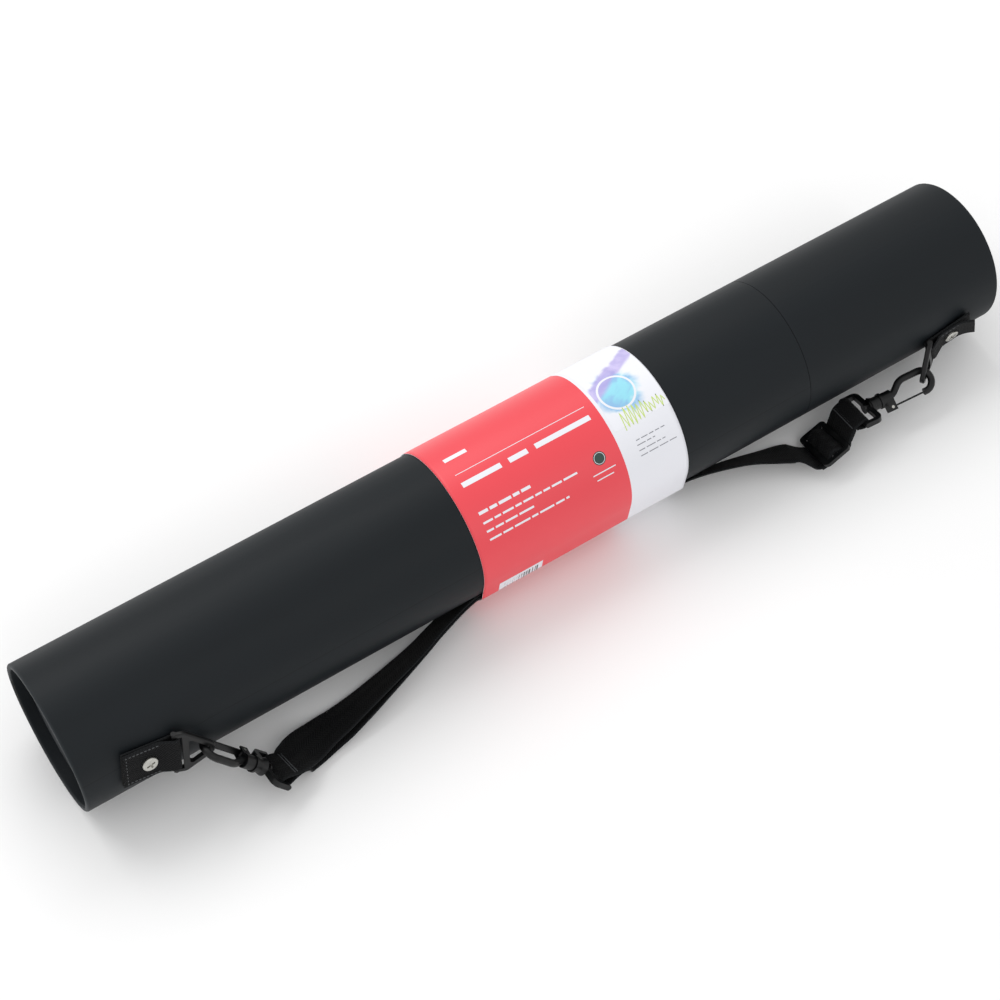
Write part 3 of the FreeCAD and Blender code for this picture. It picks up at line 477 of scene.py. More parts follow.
def ribbon(name, stations):
    """A mesh ribbon with a UV map in metres. A station's cup bends it round the tube; 0 is flat."""
    frames = ribbon_frames(stations, RIBBON_STEP)
    outline = ribbon_section(HALF_WEBBING, RIBBON_THICKNESS)
    points, faces, uvs = [], [], []
    for t, centre, along, across, cup in frames:
        up = along.cross(across)
        radial = Vector((0, centre.y, centre.z))
        reach = max(radial.length, TUBE_RADIUS)
        radial.normalize()
        rib = 1 + RIB_DEPTH / RIBBON_THICKNESS * sin(2 * pi * t / RIB_PITCH)
        for v, h in outline:
            sag = radial * (-cup * v * v / (2 * reach))
            spot = centre + across * v + up * (h * rib) + sag
            spot.z = max(spot.z, FLOOR + 0.1 * MM)      # an edge that reaches the table lies on it
            points.append(spot)
    count = len(outline)
    for k in range(len(frames) - 1):
        for j in range(count):
            nxt = (j + 1) % count
            faces.append((k * count + j, (k + 1) * count + j, (k + 1) * count + nxt, k * count + nxt))
            t0, t1, v0, v1 = frames[k][0], frames[k + 1][0], outline[j][0], outline[nxt][0]
            uvs.append(((t0, v0), (t1, v0), (t1, v1), (t0, v1)))
    for base, order in ((0, range(count)), ((len(frames) - 1) * count, reversed(range(count)))):
        order = list(order)
        faces.append(tuple(base + j for j in order))
        uvs.append(tuple((frames[0][0], outline[j][0]) for j in order))
    made = make_mesh(name, points, faces, webbing_finish, uvs)
    length, lowest = frames[-1][0] / MM, min(point.z for point in points) / MM
    print(f"{name}: {length:.0f} mm of webbing, {len(faces)} faces, lowest at {lowest:.1f} mm")
    return made

# %% [markdown]
# ### Where the webbing goes
# Each base's bar is found from the CAD base: the hook's joint gives its long axis, the bar is at
# the far end of it, and the two farthest points there give the bar's direction.

# %% Bases and tabs
def bar_of(node_name, joint_name, bar_radius):
    """Centre and direction of the bar at the far end of a swivel base."""
    nose = Vector(joints[joint_name]["pos_m"])
    along = Vector(joints[joint_name]["axis"]).normalized()
    spots = [v.co.copy() for v in nodes[node_name].data.vertices]
    far = max((spot - nose).dot(along) for spot in spots)
    middle = nose + along * (far - bar_radius)
    bar = [spot for spot in spots if abs((spot - middle).dot(along)) < bar_radius * 1.2]
    flat = [spot - along * (spot - middle).dot(along) for spot in bar]
    first = max(flat, key=lambda spot: (spot - middle).length)
    second = max(flat, key=lambda spot: (spot - first).length)
    direction = square_to(along, first - second)
    if direction.y > 0:
        direction = -direction
    return (first + second) / 2, direction


BASE_BAR_RADIUS = 1.75 * MM
body_bar, body_bar_way = bar_of("body_swivel", "body_hook_turn", BASE_BAR_RADIUS)
lid_bar, lid_bar_way = bar_of("lid_swivel", "lid_hook_turn", BASE_BAR_RADIUS)


def middle_of(node_name):
    low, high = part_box(node_name)
    return (low + high) / 2


def loop_way(loop_node, bar, bar_way):
    """The direction in which a strap leaves its base."""
    return square_to(bar_way, middle_of(loop_node) - bar)


body_way = loop_way("body_strap_loop", body_bar, body_bar_way)
lid_way = loop_way("lid_strap_loop", lid_bar, lid_bar_way)
print("bars at", [round(c / MM) for c in body_bar], [round(c / MM) for c in lid_bar])

# %% [markdown]
# ### The left half of the strap
# The webbing comes from under the band, goes round the base's bar and comes back, so two layers lie
# on each other. Near the hook they spread like a fan, because the strap twists there. The stations
# are the same route as the CAD strap, in millimetres, each with its tilt; the upper layer stands a
# little steeper, and the lower one a little flatter, about their shared inner edge.

# %% Left strap
LEFT_ROUTE = [(119, -66.0, -41.3, -5), (133, -62.8, -43.2, 7), (147, -61.3, -42.2, 18),
              (160, -59.3, -40.4, 27), (183.5, -54.3, -38.0, 38), (208, -48.3, -36.0, 46),
              (227, -42.6, -33.9, 50)]
FAN_END = 205                     # where the two layers meet


def layer(route, lift, fan):
    """Stations of one layer: lift is its height over the middle of the strap, fan its extra tilt
    in degrees at the hook's end."""
    stations = []
    for x, y, z, tilt in route:
        across = outward(tilt)
        inner = Vector((x, y, z)) * MM - across * HALF_WEBBING
        spread = max(0.0, min(1.0, (FAN_END - x) / (FAN_END - route[0][0]))) if fan else 0.0
        leaning = outward(tilt + fan * spread)
        up = Vector((0, sin(radians(tilt)), cos(radians(tilt))))
        stations.append((inner + leaning * HALF_WEBBING + up * lift, leaning, 0.0))
    return stations


def on_tube(x, layers_below):
    """Station of webbing that lies on the tube, over some layers."""
    height = TUBE_RADIUS + WEBBING_GAP + PLY * (layers_below + 0.5)
    return (outward(STRAP_ANGLE) * height + Vector((x, 0, 0)), outward(90 + STRAP_ANGLE), 1.0)


def round_bar(bar, bar_way, way, bar_radius, tail, first_up):
    """Stations down to a bar, half round it and away again. first_up is the side of the bar that
    the webbing reaches first, as a unit vector across way."""
    reach = bar_radius + LOOP_GAP + PLY / 2
    stations = [(bar + way * tail + first_up * (PLY / 2), bar_way, 0.0)]
    for angle in (75, 100, 125, 150, 180, 210, 235, 260, 285):
        turn = radians(angle)
        spot = bar + way * (reach * cos(turn)) + first_up * (reach * sin(turn))
        stations.append((spot, bar_way, 0.0))
    stations.append((bar + way * tail - first_up * (PLY / 2), bar_way, 0.0))
    return stations


def upper_side(way, bar_way):
    """The side of a loop that faces up."""
    side = way.cross(bar_way)
    return side if side.z > 0 else -side


body_up = upper_side(body_way, body_bar_way)
TAIL = 8 * MM                     # how far the two layers run straight from the bar
LEFT_IN_BAND = (BAND_MIDDLE, (BAND_MIDDLE + BAND_START) / 2, BAND_START - 4 * MM)
inside_band = [on_tube(x, 0) for x in LEFT_IN_BAND]
top_layer = layer(LEFT_ROUTE, 0.8 * MM, 9)
low_layer = layer(LEFT_ROUTE, -0.8 * MM, -7)
outside_band = [on_tube(x, 1) for x in reversed(LEFT_IN_BAND)]
left_stations = (inside_band + top_layer[::-1]
                 + round_bar(body_bar, body_bar_way, body_way, BASE_BAR_RADIUS, TAIL, body_up)
                 + low_layer + outside_band)
strap_left_run = ribbon("strap_left_run", left_stations)
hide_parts("strap_left", "body_strap_loop", "strap_under_band")
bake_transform(strap_left_run)

# %% [markdown]
# ### The right half and the slider
# One layer leaves the band and weaves through the slider: under its first bar, over the middle one
# and under the last. It goes on to the other base, round that bar and back through the slider
# below the first layer, and ends in a short free tail.

# %% Right strap
RIGHT_ROUTE = [(437, -39.6, -34.6, 49), (454, -43.4, -36.2, 44), (470, -48.4, -38.0, 35),
               (484, -53.6, -38.7, 26)]
slider_middle = middle_of("slider")
slider_way = Vector(joints["slider_slide"]["axis"]).normalized()
SLIDER_TILT = 23                  # degrees, as on the CAD slider
slider_across = square_to(slider_way, outward(SLIDER_TILT))
slider_up = -slider_way.cross(slider_across)
# millimetres along the slider and above its middle plane, for the layer on top
WEAVE = [(-8.4, -2.4), (-4.3, 0.4), (0, 3.4), (4.3, 0.4), (8.4, -2.4)]


def through_slider(lower):
    """Stations through the slider, this many millimetres below the layer on top."""
    return [(slider_middle + slider_way * (along * MM) + slider_up * ((height - lower) * MM),
             slider_across, 0.0) for along, height in WEAVE]


LAYER_DROP = 1.55                 # millimetres: a layer and a little air
upper_weave = through_slider(0.0)
lower_weave = through_slider(LAYER_DROP)
RIGHT_IN_BAND = (BAND_MIDDLE + 0.5 * MM, (BAND_MIDDLE + BAND_END) / 2, BAND_END + 4 * MM)
past_band = [on_tube(x, 0) for x in RIGHT_IN_BAND]
strap_right_run = ribbon("strap_right_run", past_band + layer(RIGHT_ROUTE, 0.0, 0) + upper_weave)
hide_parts("strap_right", "strap_past_middle")
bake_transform(strap_right_run)

lid_up = upper_side(lid_way, lid_bar_way)
around_bar = round_bar(lid_bar, lid_bar_way, lid_way, BASE_BAR_RADIUS, TAIL, lid_up)


def straight(start, end, parts=4):
    """Stations between two stations, so that both edges of the webbing run straight."""
    return [tuple(start[k] + (end[k] - start[k]) * (f / parts) for k in range(3))
            for f in range(1, parts)]


tail_end = [(slider_middle - slider_way * (12 * MM) - slider_up * (3.6 * MM), slider_across, 0.0)]
far_stations = (upper_weave[-1:] + straight(upper_weave[-1], around_bar[0]) + around_bar
                + straight(around_bar[-1], lower_weave[-1]) + lower_weave[::-1] + tail_end)
strap_right_end = ribbon("strap_right_end", far_stations)
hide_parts("strap_lid_run", "lid_strap_loop")
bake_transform(strap_right_end)

# %% [markdown]
# ### Tabs
# Each tab is one short strip folded in half: it lies flat under the screw, goes round the ring's
# bar and comes back on top. The upper layer's free end lifts a little, and more on the lid, where
# the webbing has curled up beside its screw.

# %% Tabs
RING_BAR_RADIUS = 1.6 * MM
TAB_BACK = 16 * MM                # from the screw to the free end
TAB_FLAT = 5.5 * MM               # from the screw to where the upper layer rises


def tab(side, body, curl):
    """The folded strip, its free end lifted by curl; gives its foot under the screw and its axes."""
    bar = Vector(joints[side + "_ring_swing"]["pos_m"])
    bar_way = Vector(joints[side + "_ring_swing"]["axis"]).normalized()
    if bar_way.z < 0:
        bar_way = -bar_way
    screw = middle_of(side + "_tab_screw")
    out = Vector((0, screw.y, screw.z)).normalized()
    foot = Vector((screw.x, 0, 0))
    along = square_to(out, bar - foot)
    reach = (bar - foot).dot(along)
    bar_height = (bar - foot).dot(out)
    loop = RING_BAR_RADIUS + LOOP_GAP + PLY / 2
    low = TUBE_RADIUS + WEBBING_GAP + PLY / 2
    path = [(-TAB_BACK, low), (-TAB_BACK / 2, low), (0, low), (TAB_FLAT, low), (reach - 4 * MM, low)]
    for angle in range(-90, 91, 22):
        path.append((reach + loop * cos(radians(angle)), bar_height + loop * sin(radians(angle))))
    top = low + PLY
    path += [(reach - 4 * MM, top + 2.2 * MM), (TAB_FLAT + 1.5 * MM, top + 0.25 * MM), (0, top),
             (-TAB_BACK * 0.45, top + curl * 0.12), (-TAB_BACK * 0.8, top + curl * 0.6),
             (-TAB_BACK, top + curl)]
    stations = [(foot + along * x + out * h, bar_way, 0.0) for x, h in path]
    piece = ribbon(side + "_tab_webbing", stations)
    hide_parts(side + "_tab")
    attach(piece, body)
    return foot, along, bar_way, out


body_tab_axes = tab("body", "root", curl=0.5 * MM)
lid_tab_axes = tab("lid", "lid", curl=4.5 * MM)

# %% [markdown]
# ## Stitches
# Rows of thread hold the folded webbing. A stitch repeats along a line, so Geometry Nodes lay it:
# the curve is cut into even steps, a small bead of thread is set on each step along the curve, and
# the result is turned into a plain mesh.

# %% Thread and stitch tree
def waxed_thread():
    material, tree, shader = new_finish("waxed_polyester_thread", IOR=1.5, Roughness=0.5)
    place = add(tree, COORDS)["Object"]
    twist = add(tree, NOISE, {"Vector": place, "Scale": 1 / (0.25 * MM)})[0]
    colour = add(tree, MIX, {0: twist, 6: "#2C2E30", 7: "#505356"}, **RGBA)[2]
    normal = add(tree, BUMP, {"Strength": 1.0, "Distance": 0.03 * MM, "Height": twist})[0]
    feed(shader, Base_Color=colour, Normal=normal)
    return material


thread = waxed_thread()


def stitch_tree():
    tree = bpy.data.node_groups.new("stitch_row", "GeometryNodeTree")
    face = tree.interface
    face.new_socket("Geometry", in_out="INPUT", socket_type="NodeSocketGeometry")
    for name, value in (("Pitch", 2.4 * MM), ("Stitch length", 1.9 * MM), ("Thread", 0.8 * MM)):
        face.new_socket(name, in_out="INPUT", socket_type="NodeSocketFloat").default_value = value
    face.new_socket("Material", in_out="INPUT", socket_type="NodeSocketMaterial")
    face.new_socket("Geometry", in_out="OUTPUT", socket_type="NodeSocketGeometry")
    start = add(tree, "NodeGroupInput")
    steps = add(tree, "GeometryNodeCurveToPoints",
                {"Curve": start["Geometry"], "Length": start["Pitch"]}, mode="LENGTH")
    bead = add(tree, "GeometryNodeMeshUVSphere", {"Segments": 8, "Rings": 6, "Radius": 0.5})
    size = add(tree, "ShaderNodeCombineXYZ", start["Thread"], start["Thread"], start["Stitch length"])
    laid = add(tree, "GeometryNodeInstanceOnPoints",
               {"Points": steps["Points"], "Instance": bead["Mesh"],
                "Rotation": steps["Rotation"], "Scale": size[0]})
    real = add(tree, "GeometryNodeRealizeInstances", laid[0])
    dressed = add(tree, "GeometryNodeSetMaterial", {"Geometry": real[0], "Material": start["Material"]})
    add(tree, "NodeGroupOutput", {"Geometry": dressed[0]})
    return tree


STITCHES = stitch_tree()


def stitch_rows(name, rows, body, pitch=2.4 * MM):
    """Rows of stitches, each a list of points, as one mesh that moves with body."""
    path = bpy.data.curves.new(name, "CURVE")
    path.dimensions = "3D"
    for row in rows:
        spline = path.splines.new("POLY")
        spline.points.add(len(row) - 1)
        for point, spot in zip(spline.points, row):
            point.co = (*spot, 1.0)
    holder = bpy.data.objects.new(name + "_path", path)
    bpy.context.scene.collection.objects.link(holder)
    modifier = holder.modifiers.new("stitches", "NODES")
    modifier.node_group = STITCHES
    sockets = {item.name: item.identifier for item in STITCHES.interface.items_tree
               if item.in_out == "INPUT"}
    modifier[sockets["Pitch"]] = pitch
    modifier[sockets["Material"]] = thread
    evaluated = holder.evaluated_get(bpy.context.evaluated_depsgraph_get())
    mesh = bpy.data.meshes.new_from_object(evaluated)
    bpy.data.objects.remove(holder)
    made = bpy.data.objects.new(name, mesh)
    bpy.context.scene.collection.objects.link(made)
    for polygon in mesh.polygons:
        polygon.use_smooth = True
    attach(made, body)
    print(f"{name}: {len(mesh.polygons)} faces")
    return made


# %% Stitches on tabs and loops
def tab_stitches(side, body, axes):
    """A row along each edge of the tab, and on the body one across its end too."""
    foot, along, across, out = axes
    height = TUBE_RADIUS + WEBBING_GAP + 2 * PLY + 0.05 * MM
    inset = HALF_WEBBING - 2 * MM
    back = -TAB_BACK + 2.2 * MM if side == "body" else -6 * MM
    corners = [(TAB_FLAT, inset), (back, inset), (back, -inset), (TAB_FLAT, -inset)]
    sides = list(zip(corners, corners[1:]))
    if side == "lid":
        del sides[1]
    rows = [[foot + along * x + across * v + out * height for x, v in ends] for ends in sides]
    stitch_rows(side + "_tab_stitches", rows, body)


tab_stitches("body", "root", body_tab_axes)
tab_stitches("lid", "lid", lid_tab_axes)


TACK_ROWS = (7.2 * MM, 8.6 * MM)  # from the base's bar to each row


def loop_stitches(name, bar, bar_way, way, up, body):
    """A bar tack: two close rows across the two layers, just past the base's bar."""
    inset = HALF_WEBBING - 2.5 * MM
    rows = []
    for x in TACK_ROWS:
        rows.append([bar + way * x + bar_way * v + up * (PLY + 0.1 * MM) for v in (-inset, inset)])
    stitch_rows(name, rows, body, pitch=1.6 * MM)


loop_stitches("body_bar_tack", body_bar, body_bar_way, body_way, body_up, "body_swivel")
loop_stitches("lid_bar_tack", lid_bar, lid_bar_way, lid_way, lid_up, "lid_swivel")

# %% [markdown]
# ## Paper band
# The band is one strip of paper wound round the tube and glued to itself at the back. Over the
# strap it stands off the tube, with a straight flank on each side, so its radius is a formula: the
# tube's, or the line that touches the tube and leads up to the webbing.

# %% Band shape
BAND_CLEAR = 0.12 * MM
BAND_INNER = TUBE_RADIUS + BAND_CLEAR
BAND_OVER_STRAP = TUBE_RADIUS + WEBBING_GAP + 2 * PLY + BAND_CLEAR
HALF_BULGE = asin((HALF_WEBBING + BAND_CLEAR) / BAND_OVER_STRAP)
FLANK = acos(BAND_INNER / BAND_OVER_STRAP)
LAP_ANGLE = 150.0                 # where the paper's two ends overlap, at the back
LAP = 16.0                        # degrees of overlap
BAND_ROWS = 60                    # faces along the band
TURN_STEP = 1.5                   # degrees from one point round the band to the next


def paper_wave(x, angle):
    """How far the paper stands off its smooth shape, because it is never quite flat."""
    return 0.05 * MM * (1 + sin(x * 70 + angle * 0.05))


def band_radius(angle):
    """Inside of the paper at an angle, in degrees from the near side upwards."""
    off = abs((radians(angle - STRAP_ANGLE) + pi) % (2 * pi) - pi)
    if off <= HALF_BULGE:
        return BAND_OVER_STRAP
    if off < HALF_BULGE + FLANK:
        return BAND_INNER / cos(HALF_BULGE + FLANK - off)
    return BAND_INNER


def paper_band():
    rings = [BAND_START + (BAND_END - BAND_START) * k / BAND_ROWS for k in range(BAND_ROWS + 1)]
    turns = [LAP_ANGLE - 360.0 + t * TURN_STEP for t in range(int((360 + LAP) / TURN_STEP) + 1)]
    points, faces, slots = [], [], []
    for layer_height in (0.0, PAPER):
        for x in rings:
            for angle in turns:
                lapped = max(0.0, min(1.0, (angle - LAP_ANGLE + 4) / 4))
                radius = (band_radius(angle) + layer_height * 0.97 + lapped * (PAPER + 0.03 * MM)
                          + paper_wave(x, angle))
                points.append(outward(angle) * radius + Vector((x, 0, 0)))
    row, sheet = len(turns), len(turns) * len(rings)
    for i in range(len(rings) - 1):
        colour = 0 if (rings[i] + rings[i + 1]) / 2 < CORAL_END else 1
        for j in range(row - 1):
            a, b, c, d = i * row + j, i * row + j + 1, (i + 1) * row + j + 1, (i + 1) * row + j
            faces += [(a, b, c, d), (sheet + d, sheet + c, sheet + b, sheet + a)]
            slots += [1, colour]
        for j in (0, row - 1):
            a, d = i * row + j, (i + 1) * row + j
            edge = (a, d, sheet + d, sheet + a)
            faces.append(edge if j == 0 else edge[::-1])
            slots.append(1)
    for i in (0, len(rings) - 1):
        for j in range(row - 1):
            a, b = i * row + j, i * row + j + 1
            edge = (a, b, sheet + b, sheet + a)
            faces.append(edge[::-1] if i == 0 else edge)
            slots.append(1)
    made = make_mesh("printed_band", points, faces, coral)
    made.data.materials.append(white)
    for polygon, slot_index in zip(made.data.polygons, slots):
        polygon.material_index = slot_index
    return made


printed_band = paper_band()
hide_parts("paper_band")
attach(printed_band, "paper_band")
print("band of", len(printed_band.data.polygons), "faces")

# %% [markdown]
# ## Print on the band
# The print is plain shapes: blocks and bars where a heading and lines of small print would be, a
# round badge, a soft wash of colour with a ring, and a loose zigzag. Each shape is a thin patch
# that follows the paper, so its edges stay crisp from any distance.

# %% Print helpers
PRINT_LIFT = 0.04 * MM            # the print's height over the paper
DEGREE = radians(1) * (BAND_INNER + PAPER)      # one degree round the band, in metres


def on_band(x, angle, lift):
    height = band_radius(angle) + PAPER + paper_wave(x, angle) + lift
    return outward(angle) * height + Vector((x, 0, 0))


def patch(points, faces, low, high, lift=PRINT_LIFT):
    """Adds one filled strip between two edges, each a list of (x, angle)."""
    first = len(points)
    for a, b in zip(low, high):
        points.extend((on_band(*a, lift), on_band(*b, lift)))
    for k in range(len(low) - 1):
        i = first + 2 * k
        faces.append((i, i + 1, i + 3, i + 2))


def bar(points, faces, x, angle, length, height):
    """A bar along the tube, centred on its angle."""
    steps, rows = max(2, round(length / (2 * MM))), max(1, round(height / (1.3 * MM)))
    xs = [x + length * k / steps for k in range(steps + 1)]
    turns = [angle + height / DEGREE * (k / rows - 0.5) for k in range(rows + 1)]
    for low, high in zip(turns, turns[1:]):
        patch(points, faces, [(v, low) for v in xs], [(v, high) for v in xs])


def ring(points, faces, x, angle, inner, outer, count):
    """A round ring of count faces; with no inner radius, a disc."""
    low, high = [], []
    for k in range(count + 1):
        turn = 2 * pi * k / count
        low.append((x + inner * cos(turn), angle + inner * sin(turn) / DEGREE))
        high.append((x + outer * cos(turn), angle + outer * sin(turn) / DEGREE))
    patch(points, faces, low, high)


def stroke(points, faces, route, width):
    """A line of even width through a route of (x, angle) points, in steps that follow the paper."""
    fine = [route[0]]
    for a, b in zip(route, route[1:]):
        steps = max(1, round(abs(b[1] - a[1]) / TURN_STEP))
        fine += [(a[0] + (b[0] - a[0]) * k / steps, a[1] + (b[1] - a[1]) * k / steps)
                 for k in range(1, steps + 1)]
    route = fine
    low, high = [], []
    for k, (x, angle) in enumerate(route):
        ahead, behind = route[min(k + 1, len(route) - 1)], route[max(k - 1, 0)]
        way = Vector((ahead[0] - behind[0], (ahead[1] - behind[1]) * DEGREE)).normalized() * (width / 2)
        low.append((x + way.y, angle - way.x / DEGREE))
        high.append((x - way.y, angle + way.x / DEGREE))
    patch(points, faces, low, high)


def words(points, faces, start, angle, length, height, word_range, gap, least):
    """A line of small print, as blocks of random length; none starts within least of its end."""
    x, end = start, start + length
    while x < end - least:
        word = min(end - x, random.uniform(*word_range) * MM)
        bar(points, faces, x, angle, word, height)
        x += word + gap


def printed(name, points, faces, material):
    made = make_mesh(name, points, faces, material)
    for polygon in made.data.polygons:        # every face looks away from the tube
        if polygon.normal.dot(Vector((0, polygon.center.y, polygon.center.z))) < 0:
            polygon.flip()
    made.data.update()
    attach(made, "paper_band")
    print(f"{name}: {len(faces)} faces")
    return made


# %% White print and dark print
TEXT_X = 265.5 * MM               # where the lines of text begin
CODE_ANGLE = -22                  # the middle of the small white panel
BADGE_X, BADGE_ANGLE = 348 * MM, 51


def heading_print():
    points, faces = [], []
    bar(points, faces, TEXT_X, 104.5, 15.5 * MM, 3.0 * MM)
    bar(points, faces, TEXT_X, 89.4, 91 * MM, 0.4 * MM)
    x = TEXT_X
    for length in (27, 13, 39):               # the heading's words, as plain blocks
        bar(points, faces, x, 80.2, length * MM, 3.4 * MM)
        x += (length + 5.5) * MM
    for angle, length, height in ((57, 36, 1.9), (49.5, 66, 1.3), (43, 33, 1.3), (36.5, 56, 1.3)):
        words(points, faces, TEXT_X, angle, length * MM, height * MM, (4, 11), 1.3 * MM, 2 * MM)
    bar(points, faces, 268 * MM, CODE_ANGLE, 31 * MM, 12 * MM)
    for angle, start, length in ((41, 340, 16), (36.5, 341.5, 12)):
        bar(points, faces, start * MM, angle, length * MM, 0.7 * MM)
    ring(points, faces, BADGE_X, BADGE_ANGLE, 3.3 * MM, 3.6 * MM, 32)
    return printed("print_white", points, faces, white)


def code_print():
    """Dark bars on the small white panel, and the badge's disc."""
    points, faces = [], []
    x, end = 271 * MM, 296 * MM
    half = 3.6 * MM / DEGREE
    while x < end:
        wide = random.uniform(0.4, 1.3) * MM
        stroke(points, faces, [(x, CODE_ANGLE - half), (x, CODE_ANGLE + half)], wide)
        x += wide + random.uniform(0.6, 1.3) * MM
    ring(points, faces, BADGE_X, BADGE_ANGLE, 0.0, 4.2 * MM, 32)
    return printed("print_dark", points, faces, dark_ink)


random.seed(7)
dark_ink = coated_paper("paper_ink_green_black", "#24403A")
heading_print()
code_print()

# %% [markdown]
# ### The wash of colour
# The pale end carries a loose wash like wet paint: blue into violet with a torn soft edge. One
# patch covers that corner of the paper, and one noise, in two masks, chooses between white and
# the blue and lilac inks.

# %% Wash, ring and scribble
WASH_LIFT = 0.02 * MM             # the wash lies below the ring and the scribble
WASH_X, WASH_ANGLE = 380 * MM, 88
SCRIBBLE_TURNS = 22


def paint_wash():
    material, tree, shader = new_finish("paper_paint_wash", IOR=1.5, Roughness=0.45)
    place = add(tree, COORDS)["Object"]
    x, y, z = add(tree, SPLIT, place)
    minus_y = add(tree, MATH, y, -1.0, operation="MULTIPLY")[0]
    angle = add(tree, MATH, z, minus_y, operation="ARCTAN2")[0]
    # metres along the tube and round it, from the middle of the pool
    run = add(tree, MATH, x, WASH_X, operation="SUBTRACT")[0]
    turned = add(tree, MATH, angle, radians(WASH_ANGLE), operation="SUBTRACT")[0]
    climb = add(tree, MATH, turned, BAND_INNER, operation="MULTIPLY")[0]
    cloud = add(tree, NOISE, {"Vector": place, "Scale": 1 / (14 * MM), "Detail": 5.0,
                              "Distortion": 1.2})[0]
    uneven = add(tree, MATH, cloud, 0.5, operation="SUBTRACT")[0]
    torn = add(tree, MATH, uneven, 16 * MM, operation="MULTIPLY")[0]
    climb_squared = add(tree, MATH, climb, climb, operation="MULTIPLY")[0]
    reach_squared = add(tree, MATH, run, run, climb_squared, operation="MULTIPLY_ADD")[0]
    reach = add(tree, MATH, reach_squared, operation="SQRT")[0]
    torn_reach = add(tree, MATH, reach, torn, operation="ADD")[0]
    pool = add(tree, RANGE, torn_reach, 10 * MM, 17 * MM, 0.92, 0.0, **SMOOTH)[0]
    # a slanting stripe above the pool
    slope = add(tree, MATH, run, -0.55, climb, operation="MULTIPLY_ADD")[0]
    torn_slope = add(tree, MATH, torn, 0.5, slope, operation="MULTIPLY_ADD")[0]
    above = add(tree, MATH, torn_slope, 12 * MM, operation="SUBTRACT")[0]
    off_stripe = add(tree, MATH, above, operation="ABSOLUTE")[0]
    stripe = add(tree, RANGE, off_stripe, 3.5 * MM, 6.5 * MM, 0.9, 0.0, **SMOOTH)[0]
    cyan_part = add(tree, RANGE, cloud, 0.38, 0.62, **SMOOTH)[0]
    cyan = add(tree, MIX, {0: cyan_part, 6: "#7FB4DE", 7: "#86D6E8"}, **RGBA)[2]
    lilac_part = add(tree, RANGE, cloud, 0.35, 0.65, **SMOOTH)[0]
    lilac = add(tree, MIX, {0: lilac_part, 6: "#A79CD6", 7: "#C3B8E6"}, **RGBA)[2]
    pooled = add(tree, MIX, {0: pool, 6: "#E9EAF0", 7: cyan}, **RGBA)[2]
    feed(shader, Base_Color=add(tree, MIX, {0: stripe, 6: pooled, 7: lilac}, **RGBA)[2])
    return material


def wash_patch():
    points, faces = [], []
    xs = [CORAL_END + 1 * MM + k * (BAND_END - CORAL_END - 1.5 * MM) / 12 for k in range(13)]
    angles = [62 + k * 2 for k in range(45)]
    for start, end in zip(angles, angles[1:]):
        patch(points, faces, [(v, start) for v in xs], [(v, end) for v in xs], WASH_LIFT)
    return printed("print_wash", points, faces, paint_wash())


def pale_print():
    points, faces = [], []
    ring(points, faces, 379 * MM, 88, 10.8 * MM, 12.2 * MM, 60)
    return printed("print_ring", points, faces, white)


def scribble():
    """A loose zigzag whose swings grow shorter."""
    points, faces, route = [], [], []
    for k in range(SCRIBBLE_TURNS + 1):
        wobble = random.uniform(-1.0, 1.0)
        tall = 8.0 - 4.5 * k / SCRIBBLE_TURNS
        swing = tall if k % 2 else -tall
        route.append(((371.5 + k * 1.42 + wobble * 0.5) * MM, 67 + swing + 2.2 * wobble))
    smooth = []
    for a, b in zip(route, route[1:]):
        smooth += [(a[0] + (b[0] - a[0]) * f / 4, a[1] + (b[1] - a[1]) * f / 4) for f in range(4)]
    stroke(points, faces, smooth, 0.6 * MM)
    return printed("print_scribble", points, faces, coated_paper("paper_ink_lime", "#C6DB78"))


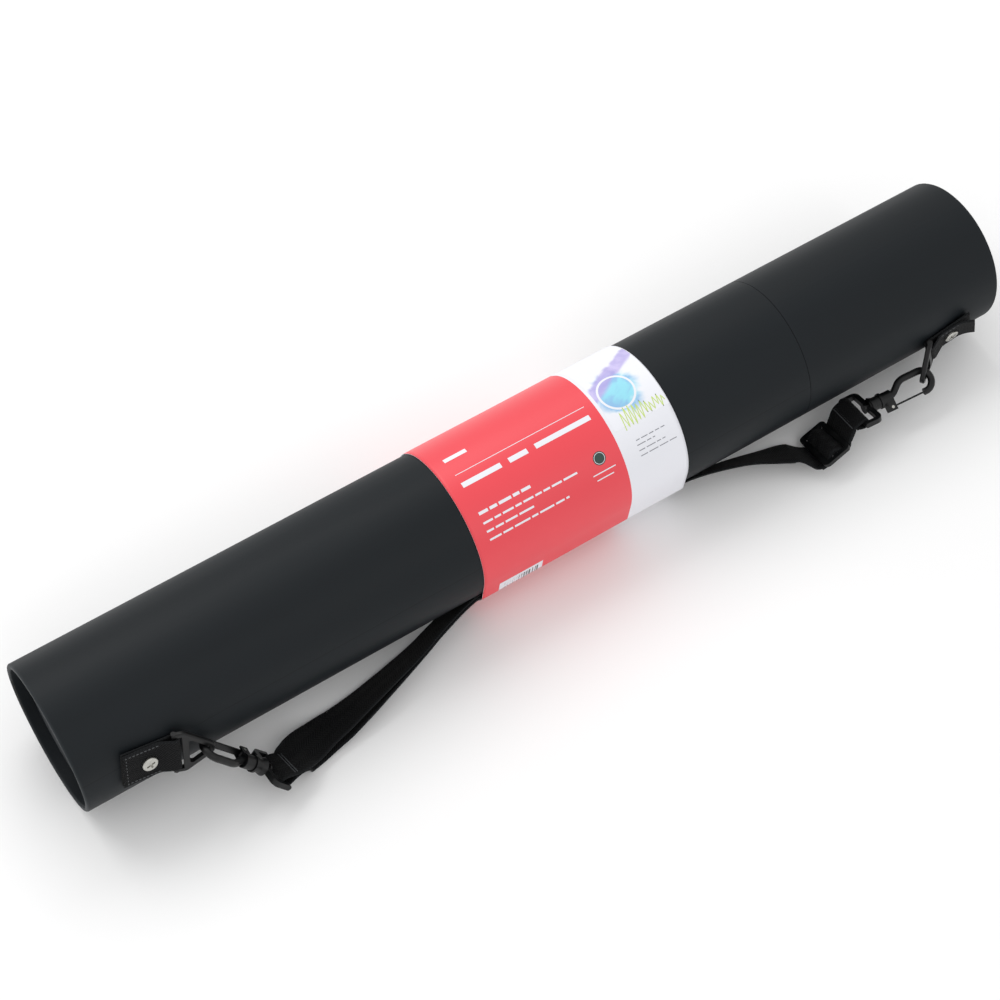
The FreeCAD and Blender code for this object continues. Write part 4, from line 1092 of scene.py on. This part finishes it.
def grey_lines():
    points, faces = [], []
    lines = ((49.5, 374, 23), (45.8, 373.5, 13), (41.5, 373.5, 19), (37.3, 373.5, 26))
    for angle, start, length in lines:
        words(points, faces, start * MM, angle, length * MM, 0.55 * MM, (2.5, 7), 1.1 * MM, 1.5 * MM)
    return printed("print_grey", points, faces, coated_paper("paper_ink_grey", "#8A8C93"))


wash_patch()
pale_print()
scribble()
grey_lines()

# %% [markdown]
# ## Floor and light
# A pale table and soft light from large panels: a broad one behind and above, which draws the long
# highlight on the tube, and a weaker one in front.

# %% Floor
FLOOR_HALF = 4.0                  # metres from the middle to each side


def pale_floor():
    material, tree, shader = new_finish("pale_floor", Roughness=0.9)
    place = add(tree, COORDS)["Object"]
    mottle = add(tree, NOISE, {"Vector": place, "Scale": 3.0})[0]
    feed(shader, Base_Color=add(tree, MIX, {0: mottle, 6: "#F4F4F4", 7: "#FAFAFA"}, **RGBA)[2])
    return material


corners = [(x * FLOOR_HALF, y * FLOOR_HALF, FLOOR) for x, y in ((-1, -1), (1, -1), (1, 1), (-1, 1))]
floor = make_mesh("floor", corners, [(0, 1, 2, 3)], pale_floor())
print("floor at", round(FLOOR / MM, 1), "mm")

# %% Lights
AIM = Vector((0.32, 0, 0))        # about the middle of the tube


def panel(name, place, size, power):
    light = bpy.data.lights.new(name, "AREA")
    light.shape = "RECTANGLE"
    light.size, light.size_y = size
    light.energy = power
    made = bpy.data.objects.new(name, light)
    made.location = place
    made.rotation_mode = "QUATERNION"
    made.rotation_quaternion = (AIM - Vector(place)).to_track_quat("-Z", "Y")
    bpy.context.scene.collection.objects.link(made)


panel("key_panel", (0.1, 0.9, 1.3), (1.6, 0.9), 12)
panel("front_panel", (0.3, -1.3, 1.0), (1.6, 0.8), 3)
world = bpy.data.worlds.new("studio")
world.use_nodes = True
world.node_tree.nodes["Background"].inputs[0].default_value = (1.0, 1.0, 1.0, 1.0)
world.node_tree.nodes["Background"].inputs[1].default_value = 0.8
bpy.context.scene.world = world
bpy.context.scene.view_settings.view_transform = "Standard"
print(len(bpy.data.lights), "lights")
